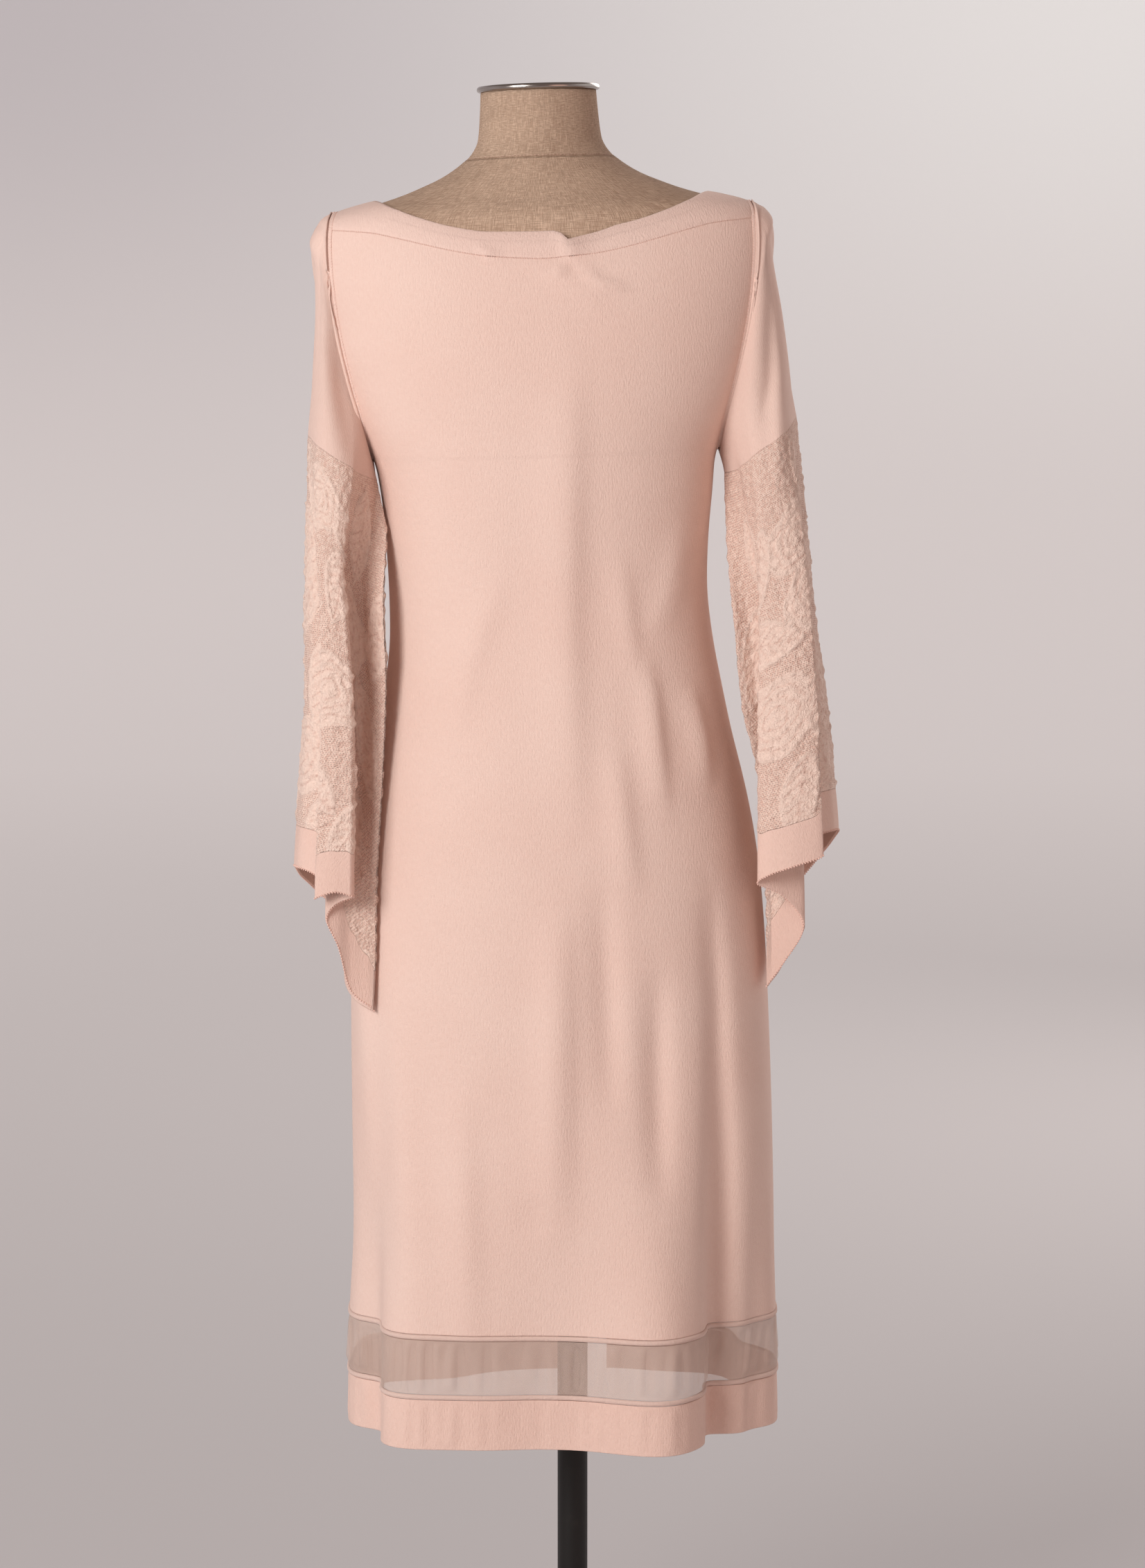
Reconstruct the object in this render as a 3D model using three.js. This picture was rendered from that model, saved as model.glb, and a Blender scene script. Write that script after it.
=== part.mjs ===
// A knitted midi dress with open bell sleeves, worn by a linen dress form on a pole stand.
// Millimetres, +Z up. The dress's front faces -Y, its wearer's left is +X.
// The origin is the middle of the stand's underside.
import * as THREE from 'three';
import { mergeVertices } from 'three/addons/utils/BufferGeometryUtils.js';

// Driving dimensions of the stand and the form.
const BASE_RADIUS = 180;
const BASE_RIM_HEIGHT = 8;
const BASE_CROWN_HEIGHT = 13;
const COLLAR_RADIUS = 24;
const COLLAR_HEIGHT = 38;
const POLE_RADIUS = 13.4;
const POLE_SIDES = 28;
const CAP_RADIUS = 53.2;
const CAP_HEIGHT = 5.2;
const LEAN_START = { x: 6, z: 700 };
const LEAN_SLOPE = 0.03;
const FORM_POWER = 2.25;
const ROUND_NECK_Z = 1425;

// Driving dimensions of the cloth.
const KNIT_THICKNESS = 1.6;
const NET_THICKNESS = 1.1;
const SEAM_GAP = 0.35;
const PIPING_GAP = 0.5;
const HEM_Z = 318;
const LOWER_PIPING_Z = 363.8;
const UPPER_PIPING_Z = 415.6;
const PIPING_RADIUS = 2.1;
const UNDERARM_Z = 1175;
const BAND_JOIN_Z = 1372;
const NECK_CORNER_Z = 1396.5;
const FRONT_LIFT = 2;
const LIFT_END_Z = 700;
const VENT = { right: 262.2, leftAtTop: 264.6, leftAtHem: 269.1 };
const DRESS_LEAN = { start: 900, over: 200 };

// How far a sleeve keeps from the dress, more beside the skirt's folds and less on top of the shoulder.
const CLEAR_OF_CLOTH = 3.4;
const FOLD_CLEARANCE = { more: 6, below: 780, over: 200 };
const SHOULDER_CLEARANCE = { upTo: 14, over: 12 };
const UNDERARM_SLACK = 4;

// Mesh density.
const PANEL_COLUMNS = 24;
const BODY_LEVELS = [450, 510, 580, 650, 720, 785, 845, 905, 960, 1010, 1060, 1118];
const UNDERARM_ROWS = 9;
const UNDERARM_ROW_POWER = 1.45;
const SHOULDER_LEVELS = [1378, 1383.4];
const BAND_LEVEL = 1392;
const BAND_ROWS = 2;
const TORSO_COLUMNS = 30;
const PIPING_STEPS = 60;
const PIPING_SIDES = 6;
const CAP_SIDES = 40;
const BASE_SIDES = 48;

// Small steps that normals are measured with: across and up a panel, round the skirt,
// and round and down a sleeve.
const PANEL_STEP = { across: 0.004, up: 1.2 };
const RING_STEP = 0.4;
const SLEEVE_STEP = { round: 0.006, down: 0.01 };

// Sections of the form: half width, and depth behind and in front of its middle.
const FORM_SECTIONS = [
  { z: 708, half: 140, back: 84, front: 66 },
  { z: 716, half: 153, back: 96, front: 75 },
  { z: 740, half: 161, back: 106, front: 83 },
  { z: 780, half: 167, back: 113, front: 89 },
  { z: 835, half: 165, back: 114, front: 92 },
  { z: 884, half: 157, back: 108, front: 93 },
  { z: 934, half: 145, back: 98, front: 90 },
  { z: 982, half: 131, back: 87, front: 87 },
  { z: 1010, half: 124, back: 82, front: 86 },
  { z: 1045, half: 119, back: 79, front: 88 },
  { z: 1080, half: 123, back: 81, front: 97 },
  { z: 1120, half: 133, back: 88, front: 115 },
  { z: 1160, half: 140, back: 93, front: 126 },
  { z: 1187, half: 143, back: 96, front: 124 },
  { z: 1213, half: 148, back: 98, front: 118 },
  { z: 1235, half: 155, back: 99, front: 110 },
  { z: 1256, half: 163, back: 99, front: 104 },
  { z: 1282, half: 174, back: 98, front: 97 },
  { z: 1305, half: 184, back: 96, front: 90 },
  { z: 1323, half: 190.5, back: 93.5, front: 85.5 },
  { z: 1340, half: 195.4, back: 90.4, front: 81.4 },
  { z: 1355, half: 197.2, back: 86.4, front: 76.4 },
  { z: 1366.4, half: 196.2, back: 82.6, front: 72.6 },
  { z: 1372.6, half: 193.2, back: 80.4, front: 71 },
  { z: 1377.6, half: 188.6, back: 78.4, front: 69.4 },
  { z: 1385.2, half: 174, back: 75.2, front: 66.6 },
  { z: 1393.3, half: 143.5, back: 72, front: 64 },
  { z: 1400.4, half: 120, back: 70, front: 62.6 },
  { z: 1407, half: 103, back: 68, front: 61.5 },
  { z: 1413, half: 89, back: 66, front: 60.5 },
  { z: 1419.5, half: 77.5, back: 64.5, front: 59.8 },
  { z: 1428, half: 66, back: 61.5, front: 58.5 },
  { z: 1436, half: 58, back: 57.5, front: 57 },
  { z: 1446, half: 53.5, back: 54, front: 55 },
  { z: 1470, half: 51, back: 51.5, front: 52.5 },
  { z: 1486, half: 50, back: 50.5, front: 51.5 },
];

// Sections of the dress: its middle, half width, depths, corner power,
// and the armhole seam's distance from the middle.
const DRESS_SECTIONS = [
  { z: 318, middle: 8.6, half: 191.5, back: 136, front: 152, power: 2.5, arm: 0 },
  { z: 412, middle: 8.7, half: 189.7, back: 132, front: 145, power: 2.5, arm: 0 },
  { z: 487, middle: 7.8, half: 186.7, back: 129, front: 138, power: 2.45, arm: 0 },
  { z: 594, middle: 9.3, half: 185.8, back: 127, front: 128, power: 2.4, arm: 0 },
  { z: 718, middle: 11.9, half: 183.5, back: 126, front: 117, power: 2.35, arm: 0 },
  { z: 780, middle: 12.9, half: 180.5, back: 125, front: 111, power: 2.3, arm: 0 },
  { z: 835, middle: 13.5, half: 174.7, back: 122, front: 107, power: 2.3, arm: 0 },
  { z: 884, middle: 14.3, half: 166, back: 116, front: 104.5, power: 2.3, arm: 0 },
  { z: 934, middle: 16, half: 155, back: 107, front: 103, power: 2.3, arm: 0 },
  { z: 982, middle: 17.3, half: 146, back: 98, front: 104, power: 2.3, arm: 0 },
  { z: 1010, middle: 18.5, half: 141.5, back: 94, front: 105, power: 2.3, arm: 0 },
  { z: 1055, middle: 21.3, half: 139, back: 91, front: 110, power: 2.3, arm: 0 },
  { z: 1104, middle: 22, half: 141, back: 94, front: 121, power: 2.3, arm: 0 },
  { z: 1136, middle: 22, half: 144, back: 97, front: 128.5, power: 2.3, arm: 0 },
  { z: 1175, middle: 24, half: 149, back: 100, front: 131, power: 2.3, arm: 149 },
  { z: 1187, middle: 24.1, half: 155, back: 100.6, front: 129, power: 2.3, arm: 152 },
  { z: 1213, middle: 24.3, half: 166, back: 102, front: 122, power: 2.3, arm: 158 },
  { z: 1235, middle: 24.5, half: 175, back: 102.5, front: 113.5, power: 2.3, arm: 164 },
  { z: 1256, middle: 24.7, half: 182, back: 102.5, front: 107.5, power: 2.3, arm: 169 },
  { z: 1282, middle: 25, half: 189, back: 101, front: 100, power: 2.28, arm: 174.5 },
  { z: 1305, middle: 25.2, half: 194, back: 98.8, front: 92.8, power: 2.27, arm: 178 },
  { z: 1323, middle: 25.4, half: 197.5, back: 96.6, front: 88.6, power: 2.26, arm: 180 },
  { z: 1340, middle: 25.7, half: 200, back: 93.6, front: 84.6, power: 2.25, arm: 181.3 },
  { z: 1355, middle: 26, half: 201, back: 89.5, front: 79.5, power: 2.25, arm: 181.8 },
  { z: 1367, middle: 26.3, half: 200, back: 86, front: 76, power: 2.25, arm: 181.5 },
  { z: 1374, middle: 26.4, half: 197.2, back: 84, front: 74.5, power: 2.25, arm: 180.8 },
  { z: 1380, middle: 26.5, half: 192.2, back: 81.5, front: 72.5, power: 2.25, arm: 180 },
  { z: 1388, middle: 26.7, half: 176.6, back: 78.5, front: 70, power: 2.25, arm: 178 },
  { z: 1396.5, middle: 26.9, half: 145.6, back: 75.5, front: 67.5, power: 2.25, arm: 178 },
];

// Height of the band's seam and of the neckline, by distance from the middle.
const BACK_NECK = [
  { out: 0, seam: 1341.5, edge: 1365 },
  { out: 45, seam: 1345, edge: 1366 },
  { out: 75, seam: 1350.5, edge: 1371 },
  { out: 105, seam: 1358, edge: 1380 },
  { out: 126, seam: 1363.5, edge: 1388.5 },
  { out: 145.6, seam: 1368, edge: NECK_CORNER_Z },
  { out: 182, seam: BAND_JOIN_Z, edge: NECK_CORNER_Z },
];
const FRONT_NECK = [
  { out: 0, seam: 1325, edge: 1349 },
  { out: 45, seam: 1330, edge: 1353 },
  { out: 75, seam: 1338, edge: 1361.5 },
  { out: 105, seam: 1350, edge: 1374.5 },
  { out: 126, seam: 1359, edge: 1386 },
  { out: 145.6, seam: 1366.5, edge: NECK_CORNER_Z },
  { out: 182, seam: BAND_JOIN_Z, edge: NECK_CORNER_Z },
];

// Folds of the skirt: angle round the body (0 is its left side, 90 the back), reach,
// depth at the hem, and where each ends.
const SKIRT_FOLDS = [
  { at: 27, reach: 10, depth: -16, top: 690 },
  { at: 50, reach: 13, depth: 13, top: 640 },
  { at: 88, reach: 11, depth: -10, top: 560 },
  { at: 109, reach: 12, depth: 22, top: 660 },
  { at: 138, reach: 10, depth: -30, top: 700 },
  { at: 156, reach: 9, depth: -13, top: 640 },
  { at: 206, reach: 12, depth: -14, top: 690 },
  { at: 232, reach: 13, depth: 13, top: 660 },
  { at: 262, reach: 13, depth: 8, top: 600 },
  { at: 300, reach: 13, depth: -15, top: 690 },
  { at: 330, reach: 12, depth: 12, top: 660 },
];

// Each sleeve: its oval tube at each level, how the cloth leaves the shoulder, and its hem.
// The hem's rows run round the sleeve from the underarm (share 0) by the back and the outside to the front.
const LEFT_SLEEVE = {
  side: 1,
  laceTop: 1190,
  laceDrop: 38,
  levels: [
    { z: 1230, inner: 178, outer: 229, back: 62, front: 60 },
    { z: 1180, inner: 176, outer: 231, back: 69, front: 62 },
    { z: 1080, inner: 164, outer: 232, back: 80, front: 65 },
    { z: 985, inner: 160, outer: 232, back: 88, front: 67 },
    { z: 900, inner: 163, outer: 237, back: 96, front: 69 },
    { z: 811, inner: 168, outer: 243, back: 102, front: 70 },
    { z: 690, inner: 170, outer: 245, back: 104, front: 70 },
  ],
  shoulder: [
    { drop: 0, out: 0 },
    { drop: 0.03, out: 0.36 },
    { drop: 0.07, out: 0.72 },
    { drop: 0.13, out: 0.93 },
    { drop: 0.22, out: 0.78 },
    { drop: 0.4, out: 0.74 },
    { drop: 0.7, out: 0.86 },
    { drop: 1, out: 1 },
  ],
  hem: [
    { share: 0, x: 170, y: 81, z: 697 },
    { share: 0.05, x: 190, y: 85, z: 719 },
    { share: 0.095, x: 209, y: 90, z: 758 },
    { share: 0.12, x: 215, y: 94, z: 778 },
    { share: 0.15, x: 204, y: 101, z: 791 },
    { share: 0.19, x: 188, y: 108, z: 798 },
    { share: 0.24, x: 194, y: 116, z: 800 },
    { share: 0.31, x: 208, y: 117, z: 803 },
    { share: 0.37, x: 221, y: 110, z: 805 },
    { share: 0.41, x: 225, y: 94, z: 810 },
    { share: 0.45, x: 230, y: 76, z: 817 },
    { share: 0.5, x: 241, y: 56, z: 817 },
    { share: 0.55, x: 245, y: 26, z: 814 },
    { share: 0.63, x: 243, y: -8, z: 803 },
    { share: 0.71, x: 234, y: -42, z: 788 },
    { share: 0.79, x: 220, y: -62, z: 770 },
    { share: 0.86, x: 208, y: -52, z: 752 },
    { share: 0.91, x: 203, y: -22, z: 734 },
    { share: 0.95, x: 200, y: 14, z: 716 },
    { share: 0.98, x: 189, y: 55, z: 703 },
    { share: 1, x: 170, y: 81, z: 697 },
  ],
};
const RIGHT_SLEEVE = {
  side: -1,
  laceTop: 1206,
  laceDrop: 48,
  levels: [
    { z: 1230, inner: -137, outer: -193, back: 62, front: 60 },
    { z: 1180, inner: -131, outer: -198, back: 68, front: 62 },
    { z: 1080, inner: -127, outer: -208, back: 78, front: 65 },
    { z: 1015, inner: -130, outer: -215, back: 85, front: 67 },
    { z: 959, inner: -135, outer: -222, back: 90, front: 68 },
    { z: 907, inner: -148, outer: -228, back: 94, front: 69 },
    { z: 843, inner: -157, outer: -234, back: 98, front: 70 },
    { z: 708, inner: -159, outer: -237, back: 100, front: 70 },
  ],
  shoulder: [
    { drop: 0, out: 0 },
    { drop: 0.03, out: 0.34 },
    { drop: 0.09, out: 0.52 },
    { drop: 0.15, out: 0.48 },
    { drop: 0.25, out: 0.52 },
    { drop: 0.5, out: 0.72 },
    { drop: 0.75, out: 0.88 },
    { drop: 1, out: 1 },
  ],
  hem: [
    { share: 0, x: -169, y: 60, z: 713 },
    { share: 0.05, x: -184, y: 66, z: 735 },
    { share: 0.1, x: -201, y: 74, z: 768 },
    { share: 0.145, x: -182, y: 84, z: 796 },
    { share: 0.19, x: -159, y: 93, z: 808 },
    { share: 0.25, x: -168, y: 105, z: 816 },
    { share: 0.31, x: -190, y: 110, z: 825 },
    { share: 0.37, x: -213, y: 104, z: 834 },
    { share: 0.41, x: -219, y: 88, z: 840 },
    { share: 0.45, x: -225, y: 67, z: 846 },
    { share: 0.5, x: -234, y: 42, z: 848 },
    { share: 0.56, x: -237, y: 12, z: 844 },
    { share: 0.64, x: -232, y: -24, z: 830 },
    { share: 0.72, x: -220, y: -52, z: 810 },
    { share: 0.8, x: -204, y: -62, z: 788 },
    { share: 0.87, x: -192, y: -45, z: 764 },
    { share: 0.92, x: -188, y: -12, z: 744 },
    { share: 0.96, x: -183, y: 24, z: 726 },
    { share: 1, x: -169, y: 60, z: 713 },
  ],
};
const FOLDS_START_Z = 1310;
const FOLDS_FULL_Z = 880;
const CUFF_HEIGHT = 35;
const SLEEVE_COLUMNS = 40;
const SLEEVE_POWER = 2.2;
const SPREAD_POWER = 0.75;
const DEPTH_POWER = 0.8;
const HEM_SLOPE = { step: 0.02, most: 1.1 };
const SEAM_REACH = 0.03;
// The gaps at the sleeve's two seams, as shares of the piece that ends there.
const SLEEVE_GAPS = { upper: 0.0036, lace: 0.0009, cuff: 0.0216 };
const UPPER_DROPS = [0, 0.035, 0.08, 0.14, 0.25, 0.42, 0.68, 1];
const LACE_ROWS = 7;
const CUFF_ROWS = 1;

// A smooth curve through one column of a table, with no overshoot between rows.
function curveThrough(rows, key, column) {
  const at = rows.map((row) => row[key]);
  const value = rows.map((row) => row[column]);
  const last = at.length - 1;
  const slope = at.slice(1).map((x, i) => (value[i + 1] - value[i]) / (x - at[i]));
  const tangent = at.map((_, i) => {
    if (i === 0) return slope[0];
    if (i === last) return slope[last - 1];
    if (slope[i - 1] * slope[i] <= 0) return 0;
    return (2 * slope[i - 1] * slope[i]) / (slope[i - 1] + slope[i]);
  });
  return (x) => {
    if (x <= at[0]) return value[0];
    if (x >= at[last]) return value[last];
    let i = 0;
    while (x > at[i + 1]) i += 1;
    const width = at[i + 1] - at[i];
    const t = (x - at[i]) / width;
    const h = t * t * (3 - 2 * t);
    return (
      value[i] * (1 - h) + value[i + 1] * h
      + width * t * (1 - t) * ((1 - t) * tangent[i] - t * tangent[i + 1])
    );
  };
}

function columnsOf(rows, key, names) {
  return Object.fromEntries(names.map((name) => [name, curveThrough(rows, key, name)]));
}

const dress = columnsOf(DRESS_SECTIONS, 'z', ['middle', 'half', 'back', 'front', 'power', 'arm']);
const backNeck = columnsOf(BACK_NECK, 'out', ['seam', 'edge']);
const frontNeck = columnsOf(FRONT_NECK, 'out', ['seam', 'edge']);

const smooth = (t) => {
  const c = Math.min(1, Math.max(0, t));
  return c * c * (3 - 2 * c);
};
const formMiddle = (z) => LEAN_START.x + LEAN_SLOPE * (z - LEAN_START.z);
const dressTilt = (z) => LEAN_SLOPE * smooth((z - DRESS_LEAN.start) / DRESS_LEAN.over);

// The top of the shoulder seam, where the dress is as wide as its armhole.
const SHOULDER_Z = (() => {
  let low = BAND_JOIN_Z;
  let high = NECK_CORNER_Z;
  for (let i = 0; i < 40; i += 1) {
    const z = (low + high) / 2;
    if (dress.half(z) > dress.arm(z)) low = z;
    else high = z;
  }
  return low;
})();

// Heights that the panels, bands and sleeves share along the armhole.
const ARM_LEVELS = [
  ...Array.from(
    { length: UNDERARM_ROWS + 1 },
    (_, i) => {
      const share = (i / UNDERARM_ROWS) ** UNDERARM_ROW_POWER;
      return UNDERARM_Z + (BAND_JOIN_Z - UNDERARM_Z) * share;
    },
  ),
  ...SHOULDER_LEVELS,
  SHOULDER_Z,
];

function foldDepth(degrees, z) {
  return SKIRT_FOLDS.reduce((sum, fold) => {
    const away = ((degrees - fold.at + 540) % 360) - 180;
    const fade = smooth((fold.top - z) / (fold.top - HEM_Z));
    return sum + fold.depth * fade * Math.exp(-((away / fold.reach) ** 2));
  }, 0);
}

// A point on the dress's outside at an angle round the body, in degrees.
function dressRing(degrees, z) {
  const angle = THREE.MathUtils.degToRad(degrees);
  const [c, s] = [Math.cos(angle), Math.sin(angle)];
  const share = 2 / dress.power(z);
  const fold = foldDepth(degrees, z);
  const depth = s >= 0 ? dress.back(z) : dress.front(z);
  const across = (dress.half(z) + fold) * Math.sign(c) * Math.abs(c) ** share;
  const lift = s < 0 ? FRONT_LIFT * s * s * smooth((LIFT_END_Z - z) / (LIFT_END_Z - HEM_Z)) : 0;
  const seam = (SEAM_GAP / 2) * (s >= 0 ? 1 : -1);
  return new THREE.Vector3(
    dress.middle(z) + across,
    (depth + fold) * Math.sign(s) * Math.abs(s) ** share + seam,
    z - across * dressTilt(z) + lift,
  );
}

// The angle from the side at which the armhole cuts a section, in degrees.
function armholeAngle(z) {
  if (z <= UNDERARM_Z || z >= SHOULDER_Z) return 0;
  const cosine = Math.min(1, (dress.arm(z) / dress.half(z)) ** (dress.power(z) / 2));
  return THREE.MathUtils.radToDeg(Math.acos(cosine));
}

// A point of the back (face 1) or front (face -1): across runs from -1 at the right to 1 at the left.
function bodyPoint(face, across, z) {
  const open = 90 - armholeAngle(z);
  const edge = Math.min(89.999, across * open) * (Math.abs(across) >= 1 ? 0.99999 : 1);
  return dressRing(face * (90 - edge), z);
}

// The outward normal of a surface by small steps, kept inside the surface's own range.
function normalOf(surface, a, b, rangeA, rangeB, steps) {
  const [a0, a1] = [Math.max(rangeA[0], a - steps[0]), Math.min(rangeA[1], a + steps[0])];
  const [b0, b1] = [Math.max(rangeB[0], b - steps[1]), Math.min(rangeB[1], b + steps[1])];
  const alongA = surface(a1, b).sub(surface(a0, b));
  const alongB = surface(a, b1).sub(surface(a, b0));
  return alongA.cross(alongB).normalize();
}

function bodyNormal(face, across, z) {
  const surface = (a, b) => bodyPoint(face, a, b);
  const steps = [PANEL_STEP.across, PANEL_STEP.up];
  const n = normalOf(surface, across, z, [-1, 1], [HEM_Z, NECK_CORNER_Z], steps);
  if (n.y * face < 0 && Math.abs(across) < 0.9) n.negate();
  const middle = dress.middle(z);
  const out = bodyPoint(face, across, z).sub(new THREE.Vector3(middle, 0, z));
  if (Math.abs(across) >= 0.9 && n.dot(out) < 0) n.negate();
  const onSideSeam = Math.abs(across) === 1 && (z <= UNDERARM_Z || z >= SHOULDER_Z);
  if (onSideSeam) n.setY(0);
  return n.normalize();
}

// A closed wall between an outer grid of points and the same grid moved in by the cloth's thickness.
function wallGeometry(outer, inner, closed) {
  const rows = outer.length;
  const columns = outer[0].length;
  const points = [...outer.flat(), ...inner.flat()];
  const inside = rows * columns;
  const faces = [];
  const quad = (a, b, c, d) => faces.push(a, b, c, a, c, d);
  const at = (row, column) => row * columns + (column % columns);
  const lastColumn = closed ? columns : columns - 1;
  for (let j = 0; j < lastColumn; j += 1) {
    for (let i = 0; i < rows - 1; i += 1) {
      const [a, b, c, d] = [at(i, j), at(i, j + 1), at(i + 1, j + 1), at(i + 1, j)];
      quad(a, b, c, d);
      quad(inside + d, inside + c, inside + b, inside + a);
    }
    quad(at(0, j), inside + at(0, j), inside + at(0, j + 1), at(0, j + 1));
    const top = rows - 1;
    quad(inside + at(top, j + 1), inside + at(top, j), at(top, j), at(top, j + 1));
  }
  if (!closed) {
    for (let i = 0; i < rows - 1; i += 1) {
      quad(at(i + 1, 0), inside + at(i + 1, 0), inside + at(i, 0), at(i, 0));
      const end = columns - 1;
      quad(at(i, end), inside + at(i, end), inside + at(i + 1, end), at(i + 1, end));
    }
  }
  return meshFrom(points, faces);
}

// An indexed geometry that faces outwards, whichever way round its grid was written.
function meshFrom(points, faces) {
  let volume = 0;
  for (let i = 0; i < faces.length; i += 3) {
    const [a, b, c] = [points[faces[i]], points[faces[i + 1]], points[faces[i + 2]]];
    volume += a.dot(b.clone().cross(c));
  }
  const facing = volume < 0 ? faces.slice().reverse() : faces;
  const geometry = new THREE.BufferGeometry();
  const numbers = points.flatMap((p) => [p.x, p.y, p.z]);
  geometry.setAttribute('position', new THREE.Float32BufferAttribute(numbers, 3));
  geometry.setIndex(facing);
  const merged = mergeVertices(geometry, 1e-3);
  merged.computeVertexNormals();
  return merged;
}

function wall(surface, normal, rows, columns, thickness, closed = false) {
  const outer = rows.map((row) => columns.map((column) => surface(column, row)));
  const inner = rows.map((row, i) => columns.map((column, j) => (
    outer[i][j].clone().addScaledVector(normal(column, row), -thickness)
  )));
  return wallGeometry(outer, inner, closed);
}

function evenly(from, to, steps) {
  return Array.from({ length: steps + 1 }, (_, i) => from + ((to - from) * i) / steps);
}

const panelColumns = evenly(-1, 1, PANEL_COLUMNS);

// The height on a column where it crosses a line that is given by distance from the middle.
function heightOn(face, across, line) {
  let z = line(0);
  for (let i = 0; i < 30; i += 1) {
    const out = Math.abs(bodyPoint(face, across, z).x - dress.middle(z));
    z += 0.5 * (line(out) - z);
  }
  return z;
}

// Heights of a line on each column of a panel; the two outer columns end at a height of their own.
function heightsAlong(face, line, atEnds) {
  return new Map(panelColumns.map((across) => [
    across,
    Math.abs(across) === 1 ? atEnds : heightOn(face, across, line),
  ]));
}

function panelWall(face, levels, heightAt, lift = () => 0) {
  const place = (across, level) => {
    const p = bodyPoint(face, across, heightAt(across, level));
    p.z += lift(level);
    return p;
  };
  const normal = (across, level) => bodyNormal(face, across, heightAt(across, level));
  return wall(place, normal, levels, panelColumns, KNIT_THICKNESS);
}

function bodyPanel(face) {
  const neck = face > 0 ? backNeck : frontNeck;
  const seams = heightsAlong(face, neck.seam, BAND_JOIN_Z);
  const bottom = UPPER_PIPING_Z + PIPING_RADIUS + PIPING_GAP;
  const levels = [bottom, ...BODY_LEVELS, ...ARM_LEVELS.slice(0, UNDERARM_ROWS + 1)];
  return panelWall(face, levels, (across, level) => {
    if (level <= UNDERARM_Z) return level;
    const share = (level - UNDERARM_Z) / (BAND_JOIN_Z - UNDERARM_Z);
    return UNDERARM_Z + share * (seams.get(across) - UNDERARM_Z);
  });
}

function neckBand(face) {
  const neck = face > 0 ? backNeck : frontNeck;
  const seams = heightsAlong(face, neck.seam, BAND_JOIN_Z);
  const edges = heightsAlong(face, neck.edge, NECK_CORNER_Z);
  const levels = [...ARM_LEVELS.slice(UNDERARM_ROWS), BAND_LEVEL, NECK_CORNER_Z];
  const heightAt = (across, level) => {
    const share = (level - BAND_JOIN_Z) / (NECK_CORNER_Z - BAND_JOIN_Z);
    return seams.get(across) + share * (edges.get(across) - seams.get(across));
  };
  return panelWall(face, levels, heightAt, (level) => (level === BAND_JOIN_Z ? SEAM_GAP : 0));
}

// The vent's edge on the wearer's left at a height, in degrees; the other edge stands upright.
const ventLeft = (z) => {
  const share = (z - HEM_Z) / (UPPER_PIPING_Z - HEM_Z);
  return VENT.leftAtHem + (VENT.leftAtTop - VENT.leftAtHem) * share;
};

// The three stretches of the skirt below the upper piping: the back, and the front
// on each side of the vent.
const SKIRT_STRETCHES = [
  { name: 'back', from: () => 0.02, to: () => 179.98, columns: PANEL_COLUMNS + 6 },
  { name: 'front_right', from: () => 180.02, to: () => VENT.right, columns: PANEL_COLUMNS / 2 },
  { name: 'front_left', from: ventLeft, to: () => 359.98, columns: PANEL_COLUMNS / 2 },
];

function ringNormal(degrees, z) {
  const along = dressRing(degrees + RING_STEP, z).sub(dressRing(degrees - RING_STEP, z)).setZ(0);
  return new THREE.Vector3(along.y, -along.x, 0).normalize();
}

function seamNormal(degrees, z) {
  const n = ringNormal(degrees, z);
  const side = Math.abs(((degrees + 90) % 180) - 90);
  return side < 0.1 ? n.setY(0).normalize() : n;
}

function skirtBand(stretch, low, high, rows, thickness) {
  const degreesAt = (share, z) => stretch.from(z) + share * (stretch.to(z) - stretch.from(z));
  return wall(
    (share, z) => dressRing(degreesAt(share, z), z),
    (share, z) => seamNormal(degreesAt(share, z), z),
    evenly(low, high, rows),
    evenly(0, 1, stretch.columns),
    thickness,
  );
}

// A rolled seam round the skirt at one height: a round section swept along the ring,
// closed or from end to end.
function piping(z, from, to, steps, closed) {
  const sides = PIPING_SIDES;
  const angles = evenly(from, to, steps).slice(0, closed ? steps : steps + 1);
  const centres = angles.map((degrees) => {
    const p = dressRing(degrees, z);
    const seam = (SEAM_GAP / 2) * (Math.sin(THREE.MathUtils.degToRad(degrees)) >= 0 ? 1 : -1);
    p.y -= seam;
    return p.addScaledVector(ringNormal(degrees, z), -KNIT_THICKNESS / 3);
  });
  const rings = centres.map((centre, i) => Array.from({ length: sides }, (_, k) => {
    const turn = ((k + 0.5) * 2 * Math.PI) / sides;
    return centre.clone()
      .addScaledVector(ringNormal(angles[i], z), PIPING_RADIUS * Math.cos(turn))
      .add(new THREE.Vector3(0, 0, PIPING_RADIUS * Math.sin(turn)));
  }));
  const points = rings.flat();
  const faces = [];
  const count = rings.length;
  const spans = closed ? count : count - 1;
  for (let i = 0; i < spans; i += 1) {
    for (let k = 0; k < sides; k += 1) {
      const [a, b] = [i * sides + k, i * sides + ((k + 1) % sides)];
      const [d, c] = [((i + 1) % count) * sides + k, ((i + 1) % count) * sides + ((k + 1) % sides)];
      faces.push(a, b, c, a, c, d);
    }
  }
  if (!closed) {
    for (let k = 1; k < sides - 1; k += 1) {
      faces.push(0, k + 1, k);
      const end = (count - 1) * sides;
      faces.push(end, end + k, end + k + 1);
    }
  }
  return meshFrom(points, faces);
}

// The armhole's point for a share round the sleeve: 0 is the underarm, 0.5 the top of the shoulder.
function armholePoint(side, index) {
  const top = ARM_LEVELS.length - 1;
  const face = index <= top ? 1 : -1;
  const z = ARM_LEVELS[index <= top ? index : 2 * top - index];
  const p = bodyPoint(face, side, z);
  p.x += side * SEAM_GAP;
  return p;
}

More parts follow.
